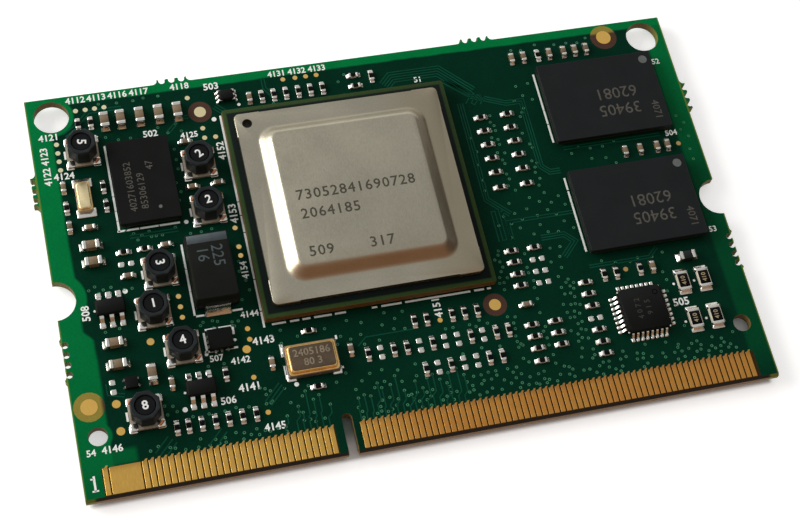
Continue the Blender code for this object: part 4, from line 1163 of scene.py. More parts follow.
def contact_template(contacts, width, low, high):
    """One contact along Y from its own start, and the neck that leans off its upper end."""
    def level(inset, z):
        half, top, soft = width / 2 - inset, contacts.length - inset, 0.015 * MM
        side = [(half - soft, inset), (half, inset + soft), (half, top - 2 * soft)]
        if width < contacts.pitch:
            end, left = top + 1.1 * contacts.taper, width / 2 - contacts.neck + inset
            side += [(half + 0.5 * contacts.neck, end), (left + 0.5 * contacts.neck, end),
                     (left - 0.5 * contacts.neck, top)]
        side += [(-half, top - 2 * soft), (-half, inset + soft), (soft - half, inset)]
        return [(x, y, z) for x, y in side]
    rows = [level(0.0, low), level(0.0, high - 0.01 * MM), level(0.02 * MM, high)]
    return Shape(15.0).loft(rows)


class MODULE_OT_contacts(Maker):
    """Makes the gold contacts above and below, with their narrow necks."""
    bl_idname = "module.contacts"
    bl_label = "Edge contacts"

    def make(self):
        board, contacts = sizes("board"), sizes("contacts")
        for shift, low, high in ((0.0, -CONTACT_FOOT, contacts.rise),
                                 (contacts.back_shift, -contacts.rise, CONTACT_FOOT)):
            shape = Shape(15.0)
            runs = [(contacts.margin + shift, board.key_from_left - contacts.key_margin),
                    (board.key_from_left + contacts.key_margin + shift,
                     board.width - contacts.margin)]
            if not shift:
                first = contacts.margin
                shape.add(self.row(contacts, first, first))
                runs[0] = (first + 6 * contacts.pitch, runs[0][1])
                left, right = first + contacts.pitch, first + 5 * contacts.pitch
                joined = contact_template(contacts, right - left + contacts.width, low, high)
                shape.add(joined.mesh(), moved((left + right) / 2, contacts.setback))
            for start, last in runs:
                shape.add(self.row(contacts, start, last))
            if shift:
                shape.underneath(board.thickness)
            keep("contacts_back" if shift else "contacts_top", shape, "contact_gold")

    def row(self, contacts, start, last):
        """A row of single contacts from one place along the edge to another."""
        count = int((last - start) / contacts.pitch + 1e-4) + 1
        template = contact_template(contacts, contacts.width, -CONTACT_FOOT, contacts.rise)
        return grow("row", None, template, Finish=material("contact_gold"), Count=count,
                    Pitch=contacts.pitch, Start=(start, contacts.setback, 0.0))


# The most vias on a square metre, and the contacts that traces run from
VIA_DENSITY = 3.4e6
TRACED_CONTACTS = range(28, 58)
# Areas strewn with vias, closely and loosely, each as left, near, right and far
DENSE_VIAS = (
    (6.5, 3.3, 23.6, 4.2), (26.2, 3.3, 65.0, 4.9), (42.4, 5.0, 43.6, 11.0),
    (45.7, 5.0, 46.1, 18.3), (48.3, 4.9, 50.1, 13.5), (45.9, 24.2, 46.9, 33.4),
    (36.0, 4.9, 43.4, 5.7), (36.0, 10.4, 41.0, 11.1), (8.0, 25.1, 12.6, 26.0),
    (3.2, 20.0, 7.6, 21.0), (12.6, 14.6, 16.8, 15.6), (49.3, 23.0, 50.0, 33.0),
    (17.4, 5.9, 18.6, 8.6), (7.4, 6.4, 9.6, 8.3), (42.6, 13.6, 43.6, 18.0),
)
LOOSE_VIAS = (
    (48.2, 13.6, 50.0, 18.0), (52.3, 4.9, 64.8, 5.7), (59.2, 5.8, 59.8, 13.0),
    (52.3, 14.3, 61.0, 15.5), (44.2, 18.8, 51.8, 23.2), (43.6, 24.0, 44.1, 33.0),
    (52.6, 27.4, 58.8, 28.2), (53.0, 25.0, 58.8, 26.6), (19.4, 4.4, 22.0, 7.9),
    (24.3, 6.0, 32.5, 8.2), (19.3, 11.9, 22.0, 13.6), (24.2, 10.6, 32.5, 13.5),
    (24.0, 37.6, 36.0, 38.1), (31.6, 39.4, 32.6, 40.7), (49.4, 33.2, 51.6, 36.8),
    (50.0, 40.2, 59.2, 40.9), (13.4, 24.9, 17.4, 25.4), (7.0, 36.3, 15.0, 37.3),
    (7.0, 40.5, 14.0, 40.9), (12.8, 10.6, 16.4, 11.6), (10.8, 6.2, 19.0, 6.9),
    (3.2, 15.9, 6.4, 16.5), (36.5, 7.8, 43.4, 8.2), (7.5, 27.0, 7.9, 35.0),
    (13.3, 28.0, 14.0, 34.6), (16.8, 15.8, 18.4, 24.0), (66.0, 23.4, 66.8, 30.0),
)
# Bundles of traces that the mask shows: a path, how many, and their pitch
TRACE_BUNDLES = (
    (((3.4, 37.6), (4.6, 38.4), (6.1, 39.9), (9.4, 39.9)), 2, 0.32),
    (((18.6, 38.6), (19.6, 37.6), (22.6, 37.6)), 3, 0.3),
    (((24.0, 41.0), (24.0, 39.9), (25.2, 38.0)), 2, 0.32),
    (((36.3, 38.2), (37.2, 39.1), (42.2, 39.1), (45.2, 36.1)), 5, 0.3),
    (((42.6, 37.8), (45.0, 35.6), (48.4, 34.2), (50.1, 34.2), (50.1, 26.4), (50.9, 25.6),
      (52.0, 25.6)), 3, 0.27),
    (((43.6, 34.9), (43.6, 23.6), (45.6, 21.6)), 3, 0.27),
    (((43.7, 18.8), (43.7, 22.2), (44.1, 22.2), (44.1, 18.9), (44.5, 18.9), (44.5, 22.2),
      (44.9, 22.2), (44.9, 18.9)), 1, 0.3),
    (((44.2, 34.8), (45.2, 36.0), (45.5, 35.7), (44.8, 34.8), (45.1, 34.5), (46.0, 35.6),
      (46.3, 35.3), (45.7, 34.5)), 1, 0.3),
    (((45.1, 18.8), (45.1, 20.8), (52.0, 20.8)), 2, 0.3),
    (((48.0, 18.5), (50.4, 18.5), (51.3, 17.6), (49.8, 16.1)), 3, 0.27),
    (((27.4, 10.4), (28.3, 11.2), (33.6, 11.2)), 1, 0.27),
    (((17.9, 6.3), (19.5, 7.9)), 3, 0.35),
    (((52.0, 14.6), (58.4, 14.6), (59.4, 15.5)), 2, 0.27),
    (((53.0, 28.0), (63.6, 28.0)), 2, 0.3),
    (((8.0, 25.5), (12.7, 25.5)), 2, 0.3),
    (((7.2, 3.1), (8.6, 4.5)), 3, 0.5),
    (((12.0, 3.1), (13.4, 4.5)), 2, 0.6),
    (((3.6, 10.9), (3.6, 9.9), (5.0, 9.5)), 2, 0.3),
    (((13.6, 36.4), (15.0, 37.8), (15.8, 37.8)), 2, 0.3),
    (((7.4, 26.2), (8.6, 27.4)), 2, 0.4),
)


def beside(path, apart):
    """A path moved sideways, with its corners still sharp."""
    points = [Vector(place) for place in path]
    runs = [(b - a).normalized() for a, b in zip(points, points[1:])]
    runs = [runs[0]] + runs + [runs[-1]]
    result = []
    for point, before, after in zip(points, runs, runs[1:]):
        normal = Vector((-(before.y + after.y), before.x + after.x)).normalized()
        result.append(tuple(point + normal * apart / max(0.5, normal.dot(
            Vector((-before.y, before.x))))))
    return result


class MODULE_OT_copper(Maker):
    """Makes the traces and vias under the mask, the test points and the camera marks."""
    bl_idname = "module.copper"
    bl_label = "Traces, vias and test points"

    def make(self):
        board, contacts, print_ = sizes("board"), sizes("contacts"), sizes("print")
        relief = print_.relief
        paths = []
        for path, count, pitch in TRACE_BUNDLES:
            paths += [beside(path, (number - (count - 1) / 2) * pitch)
                      for number in range(count)]
        luck = random.Random(print_.seed)
        ends = []
        for number in TRACED_CONTACTS:
            start = (contacts.margin + number * contacts.pitch) / MM
            if abs(start - board.key_from_left / MM) > 1.3 and luck.random() < 0.8:
                turn, jog = luck.uniform(3.5, 4.5), luck.choice((0.15, 0.42, 0.42))
                end = turn + jog + luck.uniform(0.5, 2.4)
                paths.append([(start, 2.95), (start, turn), (start + jog, turn + jog),
                              (start + jog, end)])
                ends.append(((start + jog) * MM, (end + 0.1) * MM))
        traces = Shape().add(ribbons(paths, print_.trace, 2 * relief, "trace_mask"))
        keep("traces", traces, "trace_mask")
        via = [(r * print_.via, z * relief) for r, z in (
            (1.0, -0.2), (0.95, 1.0), (0.56, 1.0), (0.48, -0.2))]
        ring_form = Shape().loft([circle(r, z, 10) for r, z in via], hollow=True)
        vias = Shape().add(copies(ring_form, ends, "via_mask"))
        for places_, spacing in ((DENSE_VIAS, print_.via_spacing),
                                 (LOOSE_VIAS, 2.1 * print_.via_spacing)):
            areas = bmesh.new()
            for left, near, right, far in places_:
                areas.faces.new([areas.verts.new((x * MM, y * MM, 0.0)) for x, y in (
                    (left, near), (right, near), (right, far), (left, far))])
            ground = bpy.data.meshes.new("areas")
            areas.to_mesh(ground)
            areas.free()
            vias.add(grow("scatter", ground, ring_form, Grid=0.15 * MM,
                          Finish=material("via_mask"), Spacing=spacing, Seed=print_.seed))
        keep("vias", vias, "via_mask")
        gold = TEST_POINTS + tuple(mark[:3] for mark in CAMERA_MARKS)
        rings = tuple((x, y, bare) for x, y, _, bare in CAMERA_MARKS)
        keep("test_points", dots(gold, 0.02 * MM, "test_gold"), "test_gold")
        keep("bare_rings", dots(rings, 0.006 * MM, "bare_laminate"), "bare_laminate")


def chip_shapes(long, wide, high, cap, foot=0.02 * MM):
    """Templates of a chip along X: its body, its two end caps, and its solder joints."""
    body = Shape().box(long - 1.4 * cap, wide * 0.96, foot, high * 0.94, edge=0.02 * MM,
                       corner=0.02 * MM, steps=1)
    caps, joints = Shape(), Shape()
    reach = 0.27 * MM * (long / MM) ** 0.5
    near = long / 2 - cap * 0.8
    for side in (-1, 1):
        caps.box(cap, wide, foot, high, moved(side * (long - cap) / 2), corner=0.05 * MM,
                 edge=0.04 * MM, steps=1)

    def outline(z, out, half):
        return ring(long / 2 + out - near, 2 * half * wide, 0.1 * MM, z * high, 2,
                    ((long / 2 + out + near) / 2, 0.0))
    joints.solder(((0.0, reach, 0.54), (0.25, reach * 0.96, 0.52), (0.42, reach * 0.5, 0.46),
                   (0.75, 0.02 * MM, 0.4)), outline)
    return body, caps, joints


class MODULE_OT_chips(Maker):
    """Makes the chip resistors and capacitors with their caps and solder joints."""
    bl_idname = "module.chips"
    bl_label = "Chip resistors and capacitors"

    def make(self):
        chips, film = sizes("chips"), sizes("packages").film
        board, under = sizes("board"), chips.under_count
        resistors = places(RESISTOR_ROWS, RESISTOR_COLUMNS)
        capacitors = places(CAPACITOR_ROWS, CAPACITOR_COLUMNS)
        middle = places(MID_CAPACITORS_UPRIGHT, MID_CAPACITORS_FLAT)
        far = spots_at(FAR_CAPACITORS_AT, film, QUARTER)
        large = spots_at(LARGE_RESISTORS_AT, film, QUARTER)
        behind = [(PROCESSOR[0] * MM + (column - (under - 1) / 2) * chips.under_pitch,
                   PROCESSOR[1] * MM + (row - (under - 1) / 2) * chips.under_pitch,
                   -board.thickness, QUARTER * ((row + column) % 2))
                  for column in range(under) for row in range(under)]
        small = (chips.length, chips.width)
        mid = (chips.mid_length, chips.mid_width, chips.mid_height, chips.mid_cap)
        wide = (chips.large_length, chips.large_width, chips.large_height, 0.3 * MM)
        joints, caps = Shape(), Shape()
        for name, spots, shape, finish, nodes in (
                ("small_resistors", resistors, (*small, chips.resistor, chips.cap),
                 "resistor_ceramic", ()),
                ("small_capacitors", capacitors, (*small, chips.capacitor, chips.cap),
                 "capacitor_body", ()),
                ("mid_capacitors", middle, mid, "capacitor_body", ()),
                ("far_capacitors", far, mid, "capacitor_body",
                 [f"far_capacitor_{n}" for n in range(1, 6)]),
                ("large_resistors", large, wide, "resistor_ceramic",
                 [f"large_resistor_{n}" for n in range(1, 5)]),
                ("chip_bead", spots_at([BEAD_AT], film), mid, "ferrite", ["chip_bead"])):
            templates = chip_shapes(*shape)
            keep(name, templates[0], finish, nodes, spots=spots)
            caps.add(copies(templates[1], spots, "solder_tin"))
            grounded = [(x, y, 0.0, turn) for x, y, _, turn in spots]
            joints.add(copies(templates[2], grounded, "solder_tin"))
            if "resistor" in name:
                long, width, high, cap = shape
                border = 0.85 if name.startswith("large") else 0.94
                glass = Shape().box(long - 1.9 * cap, width * border, high * 0.9, high * 0.985,
                                    corner=0.05 * MM, edge=0.015 * MM, steps=1)
                keep(name + "_glass", glass, "resistor_glass", spots=spots)
        marks = Shape().write([("410", x, y) for x, y in LARGE_RESISTORS_AT], 0.45, QUARTER,
                              film + chips.large_height * 0.985 - 0.004 * MM)
        keep("large_resistor_figures", marks, "glass_figure")
        templates = chip_shapes(*small, chips.capacitor, chips.cap)
        turned = [(x, y, 0.0, turn) for x, y, _, turn in behind]
        low = Shape().add(copies(templates[0], turned, "capacitor_body"))
        keep("under_capacitors", low.underneath(board.thickness), "capacitor_body")
        metal = Shape()
        for template in templates[1:]:
            metal.add(copies(template, turned, "solder_tin"))
        keep("under_joints", metal.underneath(board.thickness), "solder_tin")
        keep("chip_caps", caps, "solder_tin")
        keep("chip_joints", joints, "solder_tin")
        pads = Shape()
        for side in (-1, 1):
            pads.box(0.55 * MM, 0.55 * MM, 0.0, 0.07 * MM, moved(side * 0.48 * MM),
                     corner=0.12 * MM, edge=0.04 * MM)
        keep("empty_pads", pads, "solder_tin", spots=places(EMPTY_ROWS, EMPTY_COLUMNS))


def balls(width, depth, pitch, height, at, clear=0.62):
    """A grid of solder balls under a package, without those that nothing can see."""
    ball = Shape()
    bmesh.ops.create_icosphere(ball.bm, subdivisions=1, radius=height * 0.56)
    ball.transform(Matrix.Diagonal((1.0, 1.0, 0.89, 1.0)))
    columns, rows = int(width / pitch), int(depth / pitch)
    grid = grow("grid", None, ball, Finish=material("solder_tin"), Columns=columns, Rows=rows,
                Width=(columns - 1) * pitch, Depth=(rows - 1) * pitch,
                Clear_width=width / 2 * clear, Clear_depth=depth / 2 * clear)
    grid.transform(on_board(*at, height / 2))
    return grid


LID_FIGURES = (("73052841690728", 24.25, 25.73), ("2064185", 24.35, 23.67),
               ("509", 24.3, 19.6), ("317", 30.3, 19.6))
POWER_FIGURES = (("40271603852", 8.85, 30.3), ("85306129", 9.95, 29.7), ("47", 11.0, 32.4))


class MODULE_OT_processor(Maker):
    """Makes the processor's substrate, its stamped lid and its solder balls."""
    bl_idname = "module.processor"
    bl_label = "Processor"

    def make(self):
        part = sizes("processor")
        at = on_board(*PROCESSOR)
        low, top = part.ball, part.ball + part.thickness
        laminate_form = Shape().box(part.side, part.side, low, top, at, corner=0.15 * MM)
        keep("processor_laminate", laminate_form, "package_laminate", ["processor_substrate"])
        base = top + 0.05 * MM
        rim = base + part.lid_sheet
        slope = part.foot - part.plateau
        crown = part.rise - 0.005 * MM
        inner = 2 * part.lid_sheet
        steps = [(part.plateau - inner, 0.5, rim + part.rise - part.lid_sheet),
                 (part.foot - inner, 0.8, base),
                 (part.lid - 0.1 * MM, 0.5, base), (part.lid, 0.55, base + 0.05 * MM),
                 (part.lid, 0.55, rim - 0.08 * MM), (part.lid - 0.04 * MM, 0.53, rim - 0.03 * MM),
                 (part.lid - 0.14 * MM, 0.48, rim), (part.foot + 0.5 * MM, 1.9, rim)]
        for number in range(11):
            share = number / 10
            up = share ** 2 * (3 - 2 * share) * 0.55 + share * 0.45
            steps.append((part.foot + 0.15 * MM - (slope + 0.4 * MM) * share, 1.75 - share,
                          rim + crown * up))
        lid = Shape().loft([ring(side, side, corner * MM, z, 8) for side, corner, z in steps], at)
        corner = part.lid / 2 - part.hole_in
        pin_mark = at @ moved(-corner, corner)
        cuts = Shape().disc(part.hole, base - 0.2 * MM, rim + 0.2 * MM, pin_mark, 32)
        for quarter in range(4):
            cuts.box(0.4 * MM, part.lid - 5.2 * MM, base - 0.2 * MM, rim + 0.2 * MM,
                     at @ moved(turn=quarter * QUARTER) @ moved(part.lid / 2 + 0.12 * MM),
                     0.05 * MM, 0.0, 2)
        keep("processor_cover", without(lid, cuts), "lid_nickel", ["processor_lid"])
        glue = Shape().disc(part.hole * 1.5, top + 0.002 * MM, base - 0.002 * MM, pin_mark,
                            24)
        keep("lid_glue", glue, "adhesive")
        marks = Shape().write(LID_FIGURES, 1.08, z=rim + part.rise - 0.0105 * MM, align='LEFT',
                              spread=1.12)
        keep("lid_figures", marks, "lid_mark")
        solder = balls(part.side, part.side, part.ball_pitch, part.ball, PROCESSOR, 0.8)
        keep("processor_balls", solder, "solder_tin")


class MODULE_OT_grid_chips(Maker):
    """Makes the two memory chips and the power chip, each moulded on a thin laminate."""
    bl_idname = "module.grid_chips"
    bl_label = "Memory and power chips"

    def make(self):
        part, ball = sizes("packages"), sizes("processor").ball
        solder, faint, dots = Shape(), Shape(), Shape()
        memory = (part.memory_width, part.memory_depth)
        power = (part.power_width, part.memory_depth)
        for name, at, (width, depth), up in (
                ("memory_1", MEMORY_AT[0], memory, 1), ("memory_2", MEMORY_AT[1], memory, 1),
                ("power_chip", POWER_AT, power, -1)):
            place = on_board(*at)
            top = ball + part.substrate
            laminate_form = Shape().box(width, depth, ball, top, place, 0.1 * MM, 0.01 * MM)
            keep(name + "_laminate", laminate_form, "package_laminate", [name + "_substrate"])
            low = top + part.film
            high = low + part.moulding
            body = Shape().box(width, depth, low, high, place, 0.12 * MM, 0.035 * MM, 3)
            inset = (1.0, 1.0) if up > 0 else (2.1, 1.5)
            spot = place @ moved(width / 2 - inset[0] * part.mark_in,
                                 up * (depth / 2 - inset[1] * part.mark_in))
            radius = part.mark * (1.0 if up > 0 else 0.4)
            mark = Shape().disc(radius, high - 0.03 * MM, high + 0.05 * MM, spot, 28)
            compound = "moulding" if name == "power_chip" else "memory_moulding"
            keep(name + "_body", without(body, mark), compound, [name + "_moulding"])
            dots.disc(radius * 0.94, high - 0.032 * MM, high - 0.026 * MM, spot, 24)
            solder.add(balls(width, depth, 0.8 * MM, ball, at))
            z = high - 0.004 * MM
            if name == "power_chip":
                faint.write(POWER_FIGURES, 0.7, QUARTER, z, bold=0.0)
            else:
                faint.write([("62081", at[0] + 1.35, at[1] + 0.2),
                             ("39405", at[0] + 1.25, at[1] - 1.75)], 1.3, math.pi, z, bold=0.0)
                faint.write([("4071", at[0] + 5.1, at[1] - 2.5)], 0.8, -QUARTER, z, bold=0.0)
        keep("grid_chip_balls", solder, "solder_tin")
        keep("grid_chip_figures", faint, "laser_mark")
        keep("grid_chip_dots", dots, "pin_mark")


class MODULE_OT_inductors(Maker):
    """Makes the shielded inductors: bases, terminals, rings, cores, wires and figures."""
    bl_idname = "module.inductors"
    bl_label = "Inductors"

    def make(self):
        part, film = sizes("inductor"), sizes("packages").film
        spots = spots_at(INDUCTORS_AT)
        numbers = range(1, len(spots) + 1)
        base = Shape().box(part.base, part.base, film, film + part.base_height,
                           corner=0.25 * MM, edge=0.05 * MM)
        keep("inductor_bases", base, "inductor_base", [f"inductor_base_{n}" for n in numbers],
             spots=spots)
        metal, wire = Shape(), Shape()
        reach = (part.base - part.terminal) / 2 + film
        top = film + part.base_height + 0.06 * MM
        for sx, sy in CORNERS:
            corner = moved(sx * reach, sy * reach)
            metal.box(part.terminal, part.terminal, 0.02 * MM, top, corner, 0.14 * MM, 0.06 * MM)
            spread = (0.1 if sx * sy > 0 else 0.03) * MM
            metal.box(part.terminal, part.terminal, 0.0, 0.13 * MM,
                      moved(sx * (reach + spread), sy * (reach + spread)), 0.1 * MM, 0.05 * MM)
            if sx * sy < 0:
                wire.box(0.3 * MM, 0.66 * MM, top - 0.05 * MM, top + 0.12 * MM,
                         moved(sx * 1.27 * MM, sy * 1.27 * MM, 0.0, -QUARTER / 2),
                         0.12 * MM, 0.08 * MM)
        keep("inductor_terminals", metal, "solder_tin", spots=spots)
        keep("inductor_wires", wire, "copper_wire", spots=spots)
        low = film + part.base_height + 0.12 * MM
        high = low + part.height
        eighth = math.pi / 8
        outer = part.shield / 2 / math.cos(eighth)
        shield = Shape(20.0).loft([
            circle(r, z, 8, math.degrees(eighth)) for r, z in (
                (outer, low), (outer, high - 0.1 * MM), (outer - 0.1 * MM, high))])
        hole = Shape().disc(part.bore, low - 1 * MM, high + 1 * MM, steps=32)
        block = without(shield, hole)
        edged = linked("holder", block)
        bevel = edged.modifiers.new("edges", 'BEVEL')
        bevel.width, bevel.segments, bevel.limit_method = 0.05 * MM, 2, 'ANGLE'
        bevel.angle_limit = math.radians(50)
        ringed = Shape().add(evaluated(edged))
        keep("inductor_rings", ringed, "ferrite", [f"inductor_shield_{n}" for n in numbers],
             spots=spots)
        rim = part.bore - part.clearance
        waist, face = 0.45 * MM, high - part.recess
        core = Shape().loft([circle(r, z, 32) for r, z in (
            (rim - 0.04 * MM, low), (rim, low + 0.04 * MM), (rim, low + 0.4 * MM),
            (waist, low + 0.41 * MM), (waist, high - 0.53 * MM), (rim, face - 0.4 * MM),
            (rim, face - 0.05 * MM), (rim - 0.05 * MM, face))])
        keep("inductor_cores", core, "core_ferrite", [f"inductor_core_{n}" for n in numbers],
             spots=spots)
        marks = Shape()
        for (x, y), text, turn in zip(INDUCTORS_AT, "5223148",
                                      (-1.7, 0.5, 0.1, -1.5, 0.05, 0.15, 0.1)):
            marks.write([(text, x, y)], 0.86, turn, face - 0.003 * MM, bold=0.02)
        keep("inductor_figures", marks, "white_figure")


class MODULE_OT_tantalum(Maker):
    """Makes the moulded tantalum capacitor with its painted band and bent terminals."""
    bl_idname = "module.tantalum"
    bl_label = "Tantalum capacitor"

    def make(self):
        at = on_board(*TANTALUM_AT)
        wide, long, low, high, parting = (v * MM for v in (4.3, 7.0, 0.2, 2.8, 1.4))
        rings = [ring(wide - 2 * inset * MM, long - 2 * inset * MM, corner * MM, z, 3)
                 for z, inset, corner in (
                     (low, 0.16, 0.1), (low + 0.08 * MM, 0.1, 0.14), (parting, 0.0, 0.16),
                     (high - 0.12 * MM, 0.1, 0.16), (high - 0.03 * MM, 0.14, 0.18),
                     (high, 0.22, 0.16))]
        keep("tantalum_case", Shape().loft(rings, at), "tantalum_moulding", ["tantalum_body"])
        band = Shape().box(
            wide - 0.46 * MM, 0.85 * MM, high - 0.02 * MM, high + 0.003 * MM,
            at @ moved(0.0, long / 2 - 0.68 * MM), 0.02 * MM, 0.003 * MM, 1)
        keep("tantalum_stripe", band, "tantalum_band")
        text = Shape().write((("225", 15.7, 20.9), ("16", 14.3, 21.2)), 1.1, -QUARTER,
                             high - 0.006 * MM, bold=0.0)
        keep("tantalum_figures", text, "tantalum_band")
        end, sheet, width, foot = long / 2 + 0.05 * MM, 0.13 * MM, 2.4 * MM, 1.35 * MM
        for name, turn in (("tantalum_terminal_far", QUARTER),
                           ("tantalum_terminal_near", -QUARTER)):
            outer = [(end - foot, 0.05), (end + 0.07 * MM, 0.05), (end + sheet, 0.12),
                     (end + sheet, 1.16), (end + sheet - 0.04 * MM, 1.22)]
            inner = [(end, 1.22), (end, 0.24), (end - 0.05 * MM, 0.18), (end - foot, 0.18)]
            side = [(x, z * MM) for x, z in outer + inner]
            strap = Shape().loft([[(x, y, z) for x, z in side] for y in (-width / 2, width / 2)])
            keep(name + "_strap", Shape().add(strap.mesh(), at @ moved(turn=turn)), "solder_tin",
                 [name])
        near = long / 2 - 0.4 * MM

        def outline(z, out, half):
            far = long / 2 + out * MM
            return ring(2 * half * MM, far - near, 0.12 * MM, z * MM, 2,
                        (0.0, (far + near) / 2))
        joints = Shape().solder(((0.0, 0.62, 1.28), (0.1, 0.5, 1.25), (0.3, 0.26, 1.2),
                                 (0.7, 0.14, 1.12)), outline, at)
        keep("tantalum_joints", joints, "solder_tin")


class MODULE_OT_cans(Maker):
    """Makes the oscillator and the clock crystal: ceramic bases, gold rims and metal lids."""
    bl_idname = "module.cans"
    bl_label = "Oscillator and clock crystal"

    def make(self):
        part = sizes("packages")
        for name, at, width, depth, height, rim, cap, finish in (
                ("oscillator", OSCILLATOR_AT, part.oscillator_width, part.oscillator_depth,
                 0.7 * MM, 0.25 * MM, 0.35 * MM, "oscillator_metal"),
                ("clock_crystal", CLOCK_AT, part.clock_width, part.clock_depth, 0.5 * MM,
                 0.14 * MM, 0.2 * MM, "clock_metal")):
            place, gilded = on_board(*at), name == "oscillator"
            top = part.film + height
            body = Shape().box(width, depth, part.film, top, place, 0.2 * MM, 0.03 * MM, 4)
            keep(name + "_ceramic", body, "package_ceramic" if gilded else "ceramic_base",
                 [name + "_base"])
            rows = [ring(width - g * rim, depth - g * rim, c, z, 4) for g, c, z in (
                (0.55, 0.3 * MM, top - 0.02 * MM), (0.55, 0.3 * MM, top + 0.03 * MM),
                (0.7, 0.28 * MM, top + 0.05 * MM))]
            keep(name + "_rim", Shape().loft(rows, place), "gold_rim")
            low, high = top + part.film, top + part.film + cap
            lid = Shape().box(width - 2 * rim, depth - 2 * rim, low, high - 0.03 * MM, place,
                              0.36 * MM, 0.07 * MM, 5)
            keep(name + "_frame", lid, "gold_rim" if gilded else finish, [name + "_lid"])
            panel = Shape().box(width - 3.1 * rim, depth - 3.1 * rim, high - 0.05 * MM, high,
                                place, 0.3 * MM, 0.02 * MM, 5)
            keep(name + "_panel", panel, finish)
            pads = Shape()
            for sy in (-1, 1):
                if width < depth:
                    pads.box(width + 0.4 * MM, 0.95 * MM, 0.0, 0.16 * MM,
                             place @ moved(0.05 * MM, sy * (depth / 2 + 0.05 * MM)), 0.1 * MM,
                             0.06 * MM)
                    continue
                for sx in (-1, 1):
                    pads.box(0.9 * MM, 0.8 * MM, 0.0, 0.09 * MM,
                             place @ moved(sx * (width / 2 - 0.3 * MM),
                                           sy * (depth / 2 - 0.2 * MM)), 0.1 * MM, 0.05 * MM)
            keep(name + "_pads", pads, "solder_tin")
            if gilded:
                text = Shape().write([("2405186", at[0], at[1] + 0.5),
                                      ("80 3", at[0], at[1] - 0.5)], 0.72,
                                     z=high - 0.004 * MM)
                keep("oscillator_figures", text, "can_mark")


def lead(width, reach, middle, root=0.25 * MM, sheet=0.13 * MM, bends=(0.3, 0.55)):
    """A gull-wing lead along X: root, shoulder, slope, heel and foot, with rounded bends."""
    shoulder, heel = reach * bends[0], reach * bends[1]
    top = [(-root, middle), (shoulder - 0.05 * MM, middle),
           (shoulder + 0.02 * MM, middle - 0.04 * MM),
           (heel - 0.02 * MM, sheet + 0.05 * MM), (heel + 0.05 * MM, sheet), (reach, sheet)]
    low = [(reach, 0.0), (heel - sheet + 0.04 * MM, 0.0), (heel - sheet - 0.03 * MM, 0.04 * MM),
           (shoulder - sheet, middle - sheet), (-root, middle - sheet)]
    side = top + low
    return Shape().loft([[(x, y, z) for x, z in side] for y in (width / 2, -width / 2)])


